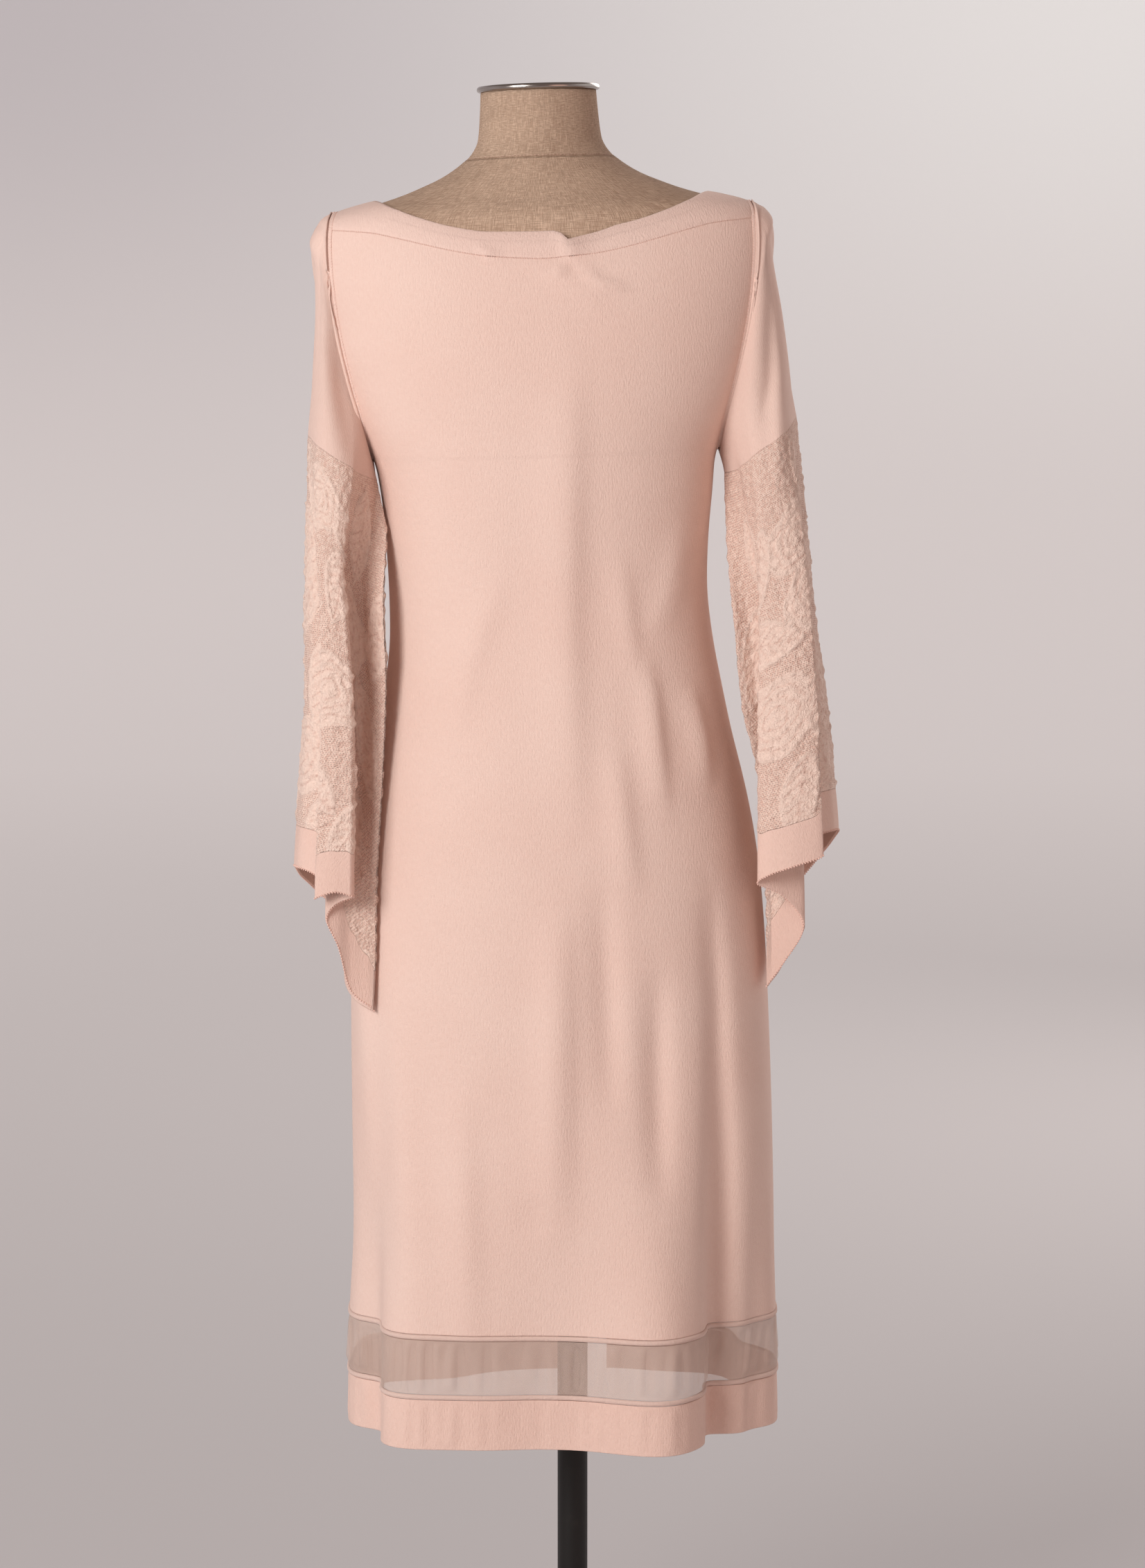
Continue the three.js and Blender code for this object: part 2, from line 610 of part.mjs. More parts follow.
// Moves a point out until it stands clear of an oval section.
function pushClear(p, middle, half, depth, power) {
  const value = Math.abs((p.x - middle) / half) ** power + Math.abs(p.y / depth) ** power;
  if (value >= 1) return;
  const grow = value ** (-1 / power);
  p.x = middle + (p.x - middle) * grow;
  p.y *= grow;
}

function clearOfBody(p) {
  const beside = smooth((FOLD_CLEARANCE.below - p.z) / FOLD_CLEARANCE.over);
  const gap = CLEAR_OF_CLOTH + FOLD_CLEARANCE.more * beside;
  const z = p.z + (p.x - dress.middle(p.z)) * dressTilt(p.z);
  const depth = p.y >= 0 ? dress.back(z) : dress.front(z);
  const beyond = Math.abs(p.x - dress.middle(z)) - dress.arm(z);
  const onShoulder = smooth((SHOULDER_CLEARANCE.upTo - beyond) / SHOULDER_CLEARANCE.over);
  const reach = z < UNDERARM_Z - UNDERARM_SLACK ? gap : gap * onShoulder;
  pushClear(p, dress.middle(z), dress.half(z) + reach, depth + reach, dress.power(z));
}

const hangOf = (share) => (1 + Math.cos(2 * Math.PI * share)) / 2;

// A sleeve's own curves: its tube at each height, its lace line, cuff line and hem.
function sleeveShape(sleeve) {
  const tube = columnsOf(sleeve.levels.slice().reverse(), 'z', ['inner', 'outer', 'back', 'front']);
  const shoulderOut = curveThrough(sleeve.shoulder, 'drop', 'out');
  const hem = columnsOf(sleeve.hem, 'share', ['x', 'y', 'z']);
  const lowest = sleeve.levels[sleeve.levels.length - 1];
  const corners = 2 * (ARM_LEVELS.length - 1);
  const laceLine = (share) => sleeve.laceTop - sleeve.laceDrop * hangOf(share);
  const cuffLine = (share) => {
    const [before, after] = [(share + 1 - HEM_SLOPE.step) % 1, (share + HEM_SLOPE.step) % 1];
    const run = Math.hypot(hem.x(after) - hem.x(before), hem.y(after) - hem.y(before));
    const slope = Math.min(HEM_SLOPE.most, Math.abs(hem.z(after) - hem.z(before)) / run);
    return hem.z(share) + CUFF_HEIGHT * Math.hypot(1, slope);
  };

  // The tube is an oval at the shoulder and takes the hem's folds on its way down.
  const tubePoint = (share, z) => {
    const turn = 2 * Math.PI * share;
    const [c, s] = [Math.cos(turn), Math.sin(turn)];
    const power = 2 / SLEEVE_POWER;
    const [inner, outer] = [tube.inner(z), tube.outer(z)];
    const depth = s >= 0 ? tube.back(z) : tube.front(z);
    const oval = new THREE.Vector3(
      (inner + outer) / 2 + ((inner - outer) / 2) * Math.sign(c) * Math.abs(c) ** power,
      depth * Math.sign(s) * Math.abs(s) ** power,
      z,
    );
    const across = (hem.x(share) - lowest.inner) / (lowest.outer - lowest.inner);
    const folded = new THREE.Vector3(
      inner + across * (outer - inner),
      (hem.y(share) * tube.back(z)) / lowest.back,
      z,
    );
    const grown = smooth((FOLDS_START_Z - z) / (FOLDS_START_Z - FOLDS_FULL_Z));
    return oval.lerp(folded, grown);
  };

  const point = (share, level) => {
    const wrapped = ((share % 1) + 1) % 1;
    const place = wrapped * corners;
    const index = Math.floor(place + 1e-9) % corners;
    const rest = place - Math.floor(place + 1e-9);
    const next = armholePoint(sleeve.side, (index + 1) % corners);
    const edge = armholePoint(sleeve.side, index).lerp(next, rest);
    if (level <= 0) return edge;
    if (level > 1) {
      const p = tubePoint(wrapped, sleeveHeight(wrapped, level));
      clearOfBody(p);
      return p;
    }
    const z = edge.z + (laceLine(wrapped) - edge.z) * level;
    const p = tubePoint(wrapped, z);
    const top = (1 - hangOf(wrapped)) ** 3;
    const out = (1 - top) * level ** SPREAD_POWER + top * shoulderOut(level);
    p.x = edge.x + (p.x - edge.x) * out;
    p.y = edge.y + (p.y - edge.y) * level ** DEPTH_POWER;
    clearOfBody(p);
    return p;
  };
  // Levels 0 to 1 are the plain upper sleeve, 1 to 2 the lace, and 2 to 3 the cuff.
  const sleeveHeight = (share, level) => {
    if (level <= 2) return laceLine(share) + (cuffLine(share) - laceLine(share)) * (level - 1);
    return cuffLine(share) + (hem.z(share) - cuffLine(share)) * (level - 2);
  };
  // The two sides of a seam line take one normal, so that their inner edges stay apart.
  const normal = (share, near) => {
    const level = Math.abs(near - Math.round(near)) < SEAM_REACH ? Math.round(near) : near;
    const along = point(share + SLEEVE_STEP.round, level).sub(point(share - SLEEVE_STEP.round, level));
    const start = Math.max(0, level - SLEEVE_STEP.down);
    const down = point(share, start + 2 * SLEEVE_STEP.down).sub(point(share, start));
    return along.cross(down).normalize().multiplyScalar(-sleeve.side);
  };
  return { point, normal, corners };
}

function sleevePiece(shape, levels, columns) {
  const shares = Array.from({ length: columns }, (_, i) => i / columns);
  return wall(shape.point, shape.normal, levels, shares, KNIT_THICKNESS, true);
}

// A solid of stacked rings, closed by a middle point at each end.
function ringSolid(rings) {
  const columns = rings[0].length;
  const points = rings.flat();
  const faces = [];
  for (let i = 0; i < rings.length - 1; i += 1) {
    for (let j = 0; j < columns; j += 1) {
      const [a, b] = [i * columns + j, i * columns + ((j + 1) % columns)];
      faces.push(a, b, b + columns, a, b + columns, a + columns);
    }
  }
  const sumOf = (ring) => ring.reduce((sum, p) => sum.add(p), new THREE.Vector3());
  const middleOf = (ring) => sumOf(ring).divideScalar(columns);
  points.push(middleOf(rings[0]), middleOf(rings[rings.length - 1]));
  const [low, high] = [points.length - 2, points.length - 1];
  const start = (rings.length - 1) * columns;
  for (let j = 0; j < columns; j += 1) {
    const next = (j + 1) % columns;
    faces.push(low, next, j);
    faces.push(high, start + j, start + next);
  }
  return meshFrom(points, faces);
}

function torsoPoint({ z, half, back, front }, column) {
  const angle = (2 * Math.PI * column) / TORSO_COLUMNS;
  const [c, s] = [Math.cos(angle), Math.sin(angle)];
  const share = 2 / (z > ROUND_NECK_Z ? 2 : FORM_POWER);
  const across = half * Math.sign(c) * Math.abs(c) ** share;
  const depth = s >= 0 ? back : front;
  return new THREE.Vector3(
    formMiddle(z) + across,
    depth * Math.sign(s) * Math.abs(s) ** share,
    z - across * LEAN_SLOPE,
  );
}

function torso() {
  const columns = Array.from({ length: TORSO_COLUMNS }, (_, column) => column);
  return ringSolid(FORM_SECTIONS.map((row) => columns.map((column) => torsoPoint(row, column))));
}

// A turned piece round the Z axis, from its half outline as radius and height.
function turned(outline, sides) {
  const profile = outline.map(([radius, height]) => new THREE.Vector2(radius, height));
  return new THREE.LatheGeometry(profile, sides).rotateX(Math.PI / 2);
}

const FORM_TOP = FORM_SECTIONS[FORM_SECTIONS.length - 1].z;
const FORM_BOTTOM = FORM_SECTIONS[0].z;

function neckCap() {
  const geometry = turned([
    [0, 0], [CAP_RADIUS - 1.6, 0], [CAP_RADIUS, 1.4], [CAP_RADIUS, CAP_HEIGHT - 2],
    [CAP_RADIUS - 1.8, CAP_HEIGHT - 0.4], [CAP_RADIUS * 0.6, CAP_HEIGHT + 0.6], [0, CAP_HEIGHT + 1],
  ], CAP_SIDES);
  return geometry
    .rotateY(LEAN_SLOPE)
    .translate(formMiddle(FORM_TOP), -0.5, FORM_TOP + SEAM_GAP);
}

function standBase() {
  return turned([
    [0, 0], [BASE_RADIUS - 2, 0], [BASE_RADIUS, 2], [BASE_RADIUS, BASE_RIM_HEIGHT - 2.5],
    [BASE_RADIUS - 3, BASE_RIM_HEIGHT], [COLLAR_RADIUS + 30, BASE_CROWN_HEIGHT],
    [COLLAR_RADIUS, BASE_CROWN_HEIGHT + 3], [COLLAR_RADIUS, BASE_CROWN_HEIGHT + COLLAR_HEIGHT - 3],
    [COLLAR_RADIUS - 3, BASE_CROWN_HEIGHT + COLLAR_HEIGHT], [0, BASE_CROWN_HEIGHT + COLLAR_HEIGHT],
  ], BASE_SIDES);
}

function standPole() {
  const low = BASE_CROWN_HEIGHT + COLLAR_HEIGHT + SEAM_GAP;
  const high = FORM_BOTTOM - 2 * POLE_RADIUS * LEAN_SLOPE - SEAM_GAP;
  return turned([[0, low], [POLE_RADIUS, low], [POLE_RADIUS, high], [0, high]], POLE_SIDES);
}

const PINK = '#f0cdbf';
const knit = { color: PINK, roughness: 0.85, metalness: 0 };
const net = { color: '#e2c6b8', roughness: 0.7, metalness: 0 };
const linen = { color: '#b89a80', roughness: 0.95, metalness: 0 };
const black = { color: '#1b1918', roughness: 0.4, metalness: 0.6 };
const steel = { color: '#a7a19d', roughness: 0.2, metalness: 1 };

const root = new THREE.Group();
function add(name, geometry, look) {
  const mesh = new THREE.Mesh(geometry, new THREE.MeshStandardMaterial(look));
  mesh.name = name;
  root.add(mesh);
}

add('back_panel', bodyPanel(1), knit);
add('front_panel', bodyPanel(-1), knit);
add('neck_band_back', neckBand(1), knit);
add('neck_band_front', neckBand(-1), knit);

[['left', LEFT_SLEEVE], ['right', RIGHT_SLEEVE]].forEach(([name, sleeve]) => {
  const shape = sleeveShape(sleeve);
  const upper = UPPER_DROPS.map((drop) => drop * (1 - SLEEVE_GAPS.upper));
  const lace = evenly(1 + SLEEVE_GAPS.lace, 2 - SLEEVE_GAPS.lace, LACE_ROWS);
  const cuff = evenly(2 + SLEEVE_GAPS.cuff, 3, CUFF_ROWS);
  add(`sleeve_${name}_upper`, sleevePiece(shape, upper, shape.corners), knit);
  add(`sleeve_${name}_lace`, sleevePiece(shape, lace, SLEEVE_COLUMNS), net);
  add(`sleeve_${name}_cuff`, sleevePiece(shape, cuff, SLEEVE_COLUMNS), knit);
});

const netLow = LOWER_PIPING_Z + PIPING_RADIUS + PIPING_GAP;
const netHigh = UPPER_PIPING_Z - PIPING_RADIUS - PIPING_GAP;
const hemHigh = LOWER_PIPING_Z - PIPING_RADIUS - PIPING_GAP;
SKIRT_STRETCHES.forEach((stretch) => {
  add(`net_inset_${stretch.name}`, skirtBand(stretch, netLow, netHigh, BAND_ROWS, NET_THICKNESS), net);
  add(`hem_band_${stretch.name}`, skirtBand(stretch, HEM_Z, hemHigh, BAND_ROWS, KNIT_THICKNESS), knit);
});
const lowerStart = ventLeft(LOWER_PIPING_Z) - 360;
add('piping_upper', piping(UPPER_PIPING_Z, 0, 360, PIPING_STEPS, true), knit);
add('piping_lower', piping(LOWER_PIPING_Z, lowerStart, VENT.right, PIPING_STEPS - 1, false), knit);

add('form_torso', torso(), linen);
add('form_neck_cap', neckCap(), steel);
add('stand_pole', standPole(), black);
add('stand_base', standBase(), black);

export default root;
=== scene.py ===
# %% [markdown]
# # A knitted dress on a dress form
# This lesson builds a pale pink knitted dress with open lace sleeves, as it hangs on a linen-covered form.
# The solid parts were made before, in a CAD program, so the scene starts by loading them as a fixed frame.
# Lengths are worked out in millimetres here, as a dressmaker measures, and turned into metres at the end.

# %% The frame
import math

import bpy
import numpy as np
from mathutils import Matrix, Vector


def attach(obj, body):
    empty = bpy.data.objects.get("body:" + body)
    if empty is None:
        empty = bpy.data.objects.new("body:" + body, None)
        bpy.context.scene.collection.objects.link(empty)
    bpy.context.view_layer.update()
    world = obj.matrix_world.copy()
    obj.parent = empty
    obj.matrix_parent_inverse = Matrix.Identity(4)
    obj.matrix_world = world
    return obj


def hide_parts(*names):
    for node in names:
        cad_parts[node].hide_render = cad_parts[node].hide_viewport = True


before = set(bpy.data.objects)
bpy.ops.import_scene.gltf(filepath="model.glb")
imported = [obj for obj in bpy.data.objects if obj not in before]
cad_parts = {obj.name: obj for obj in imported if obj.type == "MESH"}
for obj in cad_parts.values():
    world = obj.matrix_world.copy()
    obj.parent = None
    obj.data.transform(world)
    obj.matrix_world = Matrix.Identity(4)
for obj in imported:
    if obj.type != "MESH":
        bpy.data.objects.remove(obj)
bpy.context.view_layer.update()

MM = 0.001

# %% [markdown]
# ## The camera
# The photograph was taken from behind the dress, a little above its shoulders, with a long lens.
# A long lens keeps both sleeves nearly as large as the body, so the camera stands 3.8 m away.

# %% Camera
CAMERA_PLACE = (0.0, 3.8, 1.30)
CAMERA_AIM = (0.0, 0.0, 0.8836)


def in_scene(name, data):
    """A new object in the scene, made of a mesh, a lamp or a camera."""
    holder = bpy.data.objects.new(name, data)
    bpy.context.scene.collection.objects.link(holder)
    return holder


def point_at(holder, place, aim):
    """Stands a camera or a lamp at a place and turns it towards another."""
    holder.location = place
    holder.rotation_mode = "QUATERNION"
    holder.rotation_quaternion = (Vector(aim) - Vector(place)).to_track_quat("-Z", "Y")


camera = in_scene("camera", bpy.data.cameras.new("camera"))
camera.data.sensor_width = 36
camera.data.lens = 99.7
point_at(camera, CAMERA_PLACE, CAMERA_AIM)
bpy.context.scene.camera = camera
bpy.context.scene.view_settings.view_transform = "Standard"

# %% [markdown]
# ## Finishes as sums
# Cloth gets its look from small sums: how far across a stitch a point is, and how high the yarn is there.
# The Value class lets such a sum be written in Python, and each sign adds one Math node.
# Every other node comes from Finish.add, which takes its settings first and then its inputs.

# %% Shader sums
class Value:
    """A number that nodes work out for each point of a surface."""

    def __init__(self, finish, socket):
        self.finish = finish
        self.socket = socket

    def __add__(self, other):
        return self.finish.math("ADD", self, other)

    def __sub__(self, other):
        return self.finish.math("SUBTRACT", self, other)

    def __mul__(self, other):
        return self.finish.math("MULTIPLY", self, other)

    def __truediv__(self, other):
        return self.finish.math("DIVIDE", self, other)

    def __rsub__(self, other):
        return self.finish.math("SUBTRACT", other, self)

    def __pow__(self, other):
        return self.finish.math("POWER", self, other)

    __radd__ = __add__
    __rmul__ = __mul__

    def part(self):
        return self.finish.math("FRACT", self)

    def size(self):
        return self.finish.math("ABSOLUTE", self)

    def whole(self):
        return self.finish.math("FLOOR", self)

    def between(self, low, high):
        """0 below low and 1 above high, with a soft step between them."""
        inputs = {"Value": self, "From Min": low, "From Max": high}
        return self.finish.add("ShaderNodeMapRange", inputs, interpolation_type="SMOOTHSTEP")


class Finish:
    """A material under construction."""

    def __init__(self, name):
        self.material = bpy.data.materials.new(name)
        self.material.use_nodes = True
        self.tree = self.material.node_tree
        self.surface = self.tree.nodes["Principled BSDF"]

    def add(self, kind, inputs=None, output=0, **settings):
        node = self.tree.nodes.new(kind)
        for name, value in settings.items():
            setattr(node, name, value)
        for name, value in (inputs or {}).items():
            self.feed(node.inputs[name], value)
        return Value(self, node.outputs[output])

    def feed(self, socket, value):
        if isinstance(value, Value):
            self.tree.links.new(value.socket, socket)
        else:
            socket.default_value = value

    def math(self, operation, *numbers):
        return self.add("ShaderNodeMath", dict(enumerate(numbers)), operation=operation)

    def cloth_place(self):
        """Where a point lies on the flat cloth, in millimetres across and along."""
        uv = self.add("ShaderNodeUVMap", uv_map="cloth")
        across = self.add("ShaderNodeSeparateXYZ", {0: uv}, output=0)
        along = Value(self, across.socket.node.outputs[1])
        return across * 1000, along * 1000

    def noise(self, scale, detail=2.0, roughness=0.5, vector=None):
        place = vector or self.add("ShaderNodeTexCoord", output=3)
        inputs = {"Vector": place, "Scale": scale, "Detail": detail, "Roughness": roughness}
        return self.add("ShaderNodeTexNoise", inputs)

    def colour(self, factor, first, second):
        return self.add("ShaderNodeMix", {0: factor, 6: first, 7: second}, output=2, data_type="RGBA")

    def bump(self, height, distance, strength=1.0, normal=None):
        inputs = {"Height": height, "Distance": distance, "Strength": strength}
        if normal:
            inputs["Normal"] = normal
        return self.add("ShaderNodeBump", inputs)

    def finish(self, **values):
        for name, value in values.items():
            self.feed(self.surface.inputs[name.replace("_", " ")], value)
        return self.material


def linear(red, green, blue):
    """A colour as a screen shows it, 0 to 255, as the linear light that a shader takes."""
    shares = [v / 255 for v in (red, green, blue)]
    return (*[s / 12.92 if s < 0.04045 else ((s + 0.055) / 1.055) ** 2.4 for s in shares], 1.0)


# %% [markdown]
# ## The plain studio
# The dress stands on a pale floor that turns up into a far wall all round, like a bowl.
# The bowl is wide enough for a camera on any side. Its colour is painted light and shade, and it glows with
# it:
# the right wall is lighter, where the key lamp's light falls, and the left wall darker. It is darker towards
# the floor, and it is dimmer behind the camera, so that little light comes back on the cloth.

# %% Studio
BOWL = [(0.0, 0.0), (5.0, 0.0), (7.5, 0.12), (9.5, 0.7), (10.8, 1.8), (11.4, 3.4), (11.6, 6.0), (11.6, 9.0)]
BOWL_SIDES = 96
# Painted light and shade of the glowing paper: a lit right wall, a shaded left wall, a darker low wall and
# floor, and a dimmer side behind the camera.
LIT_RIGHT_WALL = linear(221, 220, 219)
SHADED_LEFT_WALL = linear(185, 180, 182)
LOW_WALL = linear(205, 199, 198)
FLOOR = linear(151, 146, 146)
BEHIND_CAMERA = linear(140, 127, 123)


def studio_bowl():
    places = []
    for radius, height in BOWL[1:]:
        for k in range(BOWL_SIDES):
            turn = 2 * math.pi * k / BOWL_SIDES
            places.append((radius * math.cos(turn), radius * math.sin(turn), height))
    middle = len(places)
    places.append((0.0, 0.0, 0.0))
    faces = []
    for ring in range(len(BOWL) - 2):
        for k in range(BOWL_SIDES):
            after = (k + 1) % BOWL_SIDES
            low, high = ring * BOWL_SIDES, (ring + 1) * BOWL_SIDES
            faces.append((low + after, low + k, high + k, high + after))
    faces += [(middle, k, (k + 1) % BOWL_SIDES) for k in range(BOWL_SIDES)]
    mesh = bpy.data.meshes.new("studio")
    mesh.from_pydata(places, [], faces)
    mesh.shade_smooth()
    return in_scene("studio", mesh)


def glowing_paper_finish():
    paper = Finish("glowing_studio_paper")
    place = paper.add("ShaderNodeTexCoord", output=3)
    x, y, height = [paper.add("ShaderNodeSeparateXYZ", {0: place}, output=k) for k in range(3)]
    # Painted light and shade: lighter on the right wall, where the key lamp's light falls, and darker on the
    # left, towards the floor and behind the camera. The paper glows with this colour as painted light.
    upper = paper.colour(x.between(-2.0, 2.0), LIT_RIGHT_WALL, SHADED_LEFT_WALL)
    wall_shade = paper.colour(height.between(0.4, 2.4), LOW_WALL, upper)
    away = (x * x + y * y) ** 0.5
    shade = paper.colour(away.between(-1.0, 9.5), FLOOR, wall_shade)
    dim = paper.colour(y.between(-1.0, 7.0), shade, BEHIND_CAMERA)
    return paper.finish(Base_Color=dim, Roughness=0.95, Emission_Color=dim, Emission_Strength=0.62)


studio = studio_bowl()
studio.data.materials.append(glowing_paper_finish())


# %% Lights
LIGHT_AIM = (0, 0, 0.9)


def softbox(name, place, size, power, colour):
    lamp = bpy.data.lights.new(name, "AREA")
    lamp.shape = "DISK"
    lamp.size = size
    lamp.energy = power
    lamp.color = colour
    point_at(in_scene(name, lamp), place, LIGHT_AIM)


softbox("key_light", (2.3, 3.1, 2.2), 2.0, 118, (1.0, 0.98, 0.96))
softbox("fill_light", (-2.4, 3.0, 1.3), 2.4, 12, (1.0, 0.62, 0.50))
softbox("far_side_light", (-1.8, -3.2, 2.4), 2.2, 42, (1.0, 0.95, 0.92))

world = bpy.data.worlds.new("studio_air")
bpy.context.scene.world = world
world.use_nodes = True
air = world.node_tree.nodes["Background"].inputs
air["Color"].default_value = (1.0, 0.80, 0.73, 1.0)
air["Strength"].default_value = 0.23

# %% [markdown]
# ## A smooth curve through a table
# A dressmaker's block is a table of widths at heights. A curve without overshoot joins its rows,
# so a waist stays where the table puts it and nothing bulges between two rows.

# %% Curves
def curve(rows, column):
    """One column of a table, read by the table's first column."""
    at = np.array([row[0] for row in rows], float)
    value = np.array([row[column] for row in rows], float)
    slope = np.diff(value) / np.diff(at)
    tangent = np.concatenate([slope[:1], np.zeros(len(at) - 2), slope[-1:]])
    same = slope[:-1] * slope[1:] > 0
    product, total = slope[:-1] * slope[1:], slope[:-1] + slope[1:]
    tangent[1:-1][same] = 2 * product[same] / total[same]

    def read(x):
        x = np.clip(x, at[0], at[-1])
        i = np.clip(np.searchsorted(at, x) - 1, 0, len(at) - 2)
        width = at[i + 1] - at[i]
        t = (x - at[i]) / width
        h = t * t * (3 - 2 * t)
        bend = (1 - t) * tangent[i] - t * tangent[i + 1]
        return value[i] * (1 - h) + value[i + 1] * h + width * t * (1 - t) * bend

    return read


def curves(rows):
    """All the columns of a table as curves of its first column."""
    return [curve(rows, column) for column in range(1, len(rows[0]))]


def smooth(t):
    """A soft step from 0 to 1."""
    t = np.clip(t, 0, 1)
    return t * t * (3 - 2 * t)


def window(x, start, rise, end, fall):
    """1 between start and end and 0 outside, with a soft step inside each of them."""
    return smooth((x - start) / rise) * smooth((end - x) / fall)


def signed_power(x, power):
    return np.sign(x) * np.abs(x) ** power


def unit(vectors):
    return vectors / np.maximum(np.linalg.norm(vectors, axis=-1, keepdims=True), 1e-9)


def once_round(steps):
    """Even angles once round a circle."""
    return 2 * np.pi * np.arange(steps) / steps


# %% [markdown]
# ## The dress block
# The body is one tube from hem to shoulder. Each row gives a height, how far the tube's middle stands to
# the left, its half width, its depth behind and in front, how square its corners are, and how far out
# the armhole seam lies. The skirt's folds are soft waves that grow towards the hem.

# %% Dress tables
LEAN_SLOPE = 0.03
HEM_Z = 318
UNDERARM_Z = 1175
BAND_JOIN_Z = 1372
NECK_CORNER_Z = 1396.5
SEAM_GAP = 0.35

DRESS_ROWS = [
    (318, 8.6, 191.5, 136, 152, 2.5, 0),
    (412, 8.7, 189.7, 132, 145, 2.5, 0),
    (487, 7.8, 186.7, 129, 138, 2.45, 0),
    (594, 9.3, 185.8, 127, 128, 2.4, 0),
    (718, 11.9, 183.5, 126, 117, 2.35, 0),
    (780, 12.9, 180.5, 125, 111, 2.3, 0),
    (835, 13.5, 174.7, 122, 107, 2.3, 0),
    (884, 14.3, 166, 116, 104.5, 2.3, 0),
    (934, 16, 155, 107, 103, 2.3, 0),
    (982, 17.3, 146, 98, 104, 2.3, 0),
    (1010, 18.5, 141.5, 94, 105, 2.3, 0),
    (1055, 21.3, 139, 91, 110, 2.3, 0),
    (1104, 22, 141, 94, 121, 2.3, 0),
    (1136, 22, 144, 97, 128.5, 2.3, 0),
    (1175, 24, 149, 100, 131, 2.3, 149),
    (1187, 24.1, 155, 100.6, 129, 2.3, 152),
    (1213, 24.3, 166, 102, 122, 2.3, 158),
    (1235, 24.5, 175, 102.5, 113.5, 2.3, 164),
    (1256, 24.7, 182, 102.5, 107.5, 2.3, 169),
    (1282, 25, 189, 101, 100, 2.28, 174.5),
    (1305, 25.2, 194, 98.8, 92.8, 2.27, 178),
    (1323, 25.4, 197.5, 96.6, 88.6, 2.26, 180),
    (1340, 25.7, 200, 93.6, 84.6, 2.25, 181.3),
    (1355, 26, 201, 89.5, 79.5, 2.25, 181.8),
    (1367, 26.3, 200, 86, 76, 2.25, 181.5),
    (1374, 26.4, 197.2, 84, 74.5, 2.25, 180.8),
    (1380, 26.5, 192.2, 81.5, 72.5, 2.25, 180),
    (1388, 26.7, 176.6, 78.5, 70, 2.25, 178),
    (1396.5, 26.9, 145.6, 75.5, 67.5, 2.25, 178),
]
EASE = (-14, -7, 0, 7, 14)
EASED_FROM_Z = 320
EASED_TO_Z = 1335


def eased(read):
    """A column with its corners eased over 28 mm, as stretched knit eases them, but not at the shoulder."""

    def value(z):
        plain = read(z)
        soft = sum(read(z + step) for step in EASE) / len(EASE)
        return plain + (soft - plain) * window(z, EASED_FROM_Z, 40, EASED_TO_Z, 30)

    return value


*dress_columns, dress_power, dress_arm = curves(DRESS_ROWS)
dress_middle, dress_half, dress_back, dress_front = [eased(column) for column in dress_columns]

# Height of the band's seam and of the neckline, by distance from the dress's middle.
BACK_NECK = [
    (0, 1341.5, 1365), (45, 1345, 1366), (75, 1350.5, 1371), (105, 1358, 1380),
    (126, 1363.5, 1388.5), (145.6, 1368, NECK_CORNER_Z), (182, BAND_JOIN_Z, NECK_CORNER_Z),
]
FRONT_NECK = [
    (0, 1325, 1349), (45, 1330, 1353), (75, 1338, 1361.5), (105, 1350, 1374.5),
    (126, 1359, 1386), (145.6, 1366.5, NECK_CORNER_Z), (182, BAND_JOIN_Z, NECK_CORNER_Z),
]

# Folds of the skirt: angle round the body (0 is its left side, 90 the back), reach, depth and top.
SKIRT_FOLDS = [
    (27, 10, -16, 690), (50, 13, 13, 640), (88, 11, -10, 560), (109, 12, 22, 660),
    (138, 10, -30, 700), (156, 9, -13, 640), (206, 12, -14, 690), (232, 13, 13, 660),
    (262, 13, 8, 600), (300, 13, -15, 690), (330, 12, 12, 660),
]
FRONT_LIFT = 2
LIFT_END_Z = 700

# %% [markdown]
# ## Creases
# Worn knit keeps soft, uneven creases. Each one is a short line on the back or the front, in millimetres
# across and up, with a width to either side of the line and a height: above 0 it stands out as a ridge,
# below 0 it sinks in as a trough. They are few, and no two have the same length or depth.

# %% Crease tables
BACK_CREASES = [
    ([(2, 1256), (4, 1150), (5, 1033), (2, 944), (0, 863)], 26, 15, 6.0),
    ([(11, 796), (11, 706), (12, 616), (13, 507)], 20, 12, 7.0),
    ([(32, 540), (32, 506)], 16, 12, -1.4),
    ([(-60, 1006), (-67, 973), (-72, 926), (-79, 872)], 13, 8, 5.5),
    ([(-100, 976), (-110, 934), (-116, 890)], 11, 8, 5.0),
    ([(-25, 815), (-30, 718), (-33, 610)], 13, 12, -5.5),
    ([(-73, 740), (-75, 640), (-77, 530)], 14, 11, -7.0),
    ([(-119, 806), (-128, 706), (-131, 586), (-130, 430)], 14, 8, -9.0),
    ([(185, 880), (182, 736), (176, 586), (166, 430)], 10, 7, 3.6),
    ([(152, 700), (146, 560), (140, 440)], 12, 16, 3.4),
    ([(96, 640), (92, 500), (90, 400)], 18, 14, 4.4),
    ([(60, 1075), (88, 1000), (104, 930)], 16, 12, 2.8),
    ([(-95, 1120), (-84, 1060), (-70, 1018)], 12, 15, 3.2),
    ([(-40, 1090), (-48, 1030), (-52, 985)], 12, 9, 2.6),
    ([(-36, 930), (-44, 860), (-52, 800)], 14, 10, 4.0),
    ([(5, 1337), (14, 1326)], 4.5, 3.0, 3.0),
    ([(-6, 1336), (-24, 1322), (-48, 1316)], 6, 4, 3.6),
    ([(30, 1336), (-30, 1306)], 9, 7, 1.8),
]
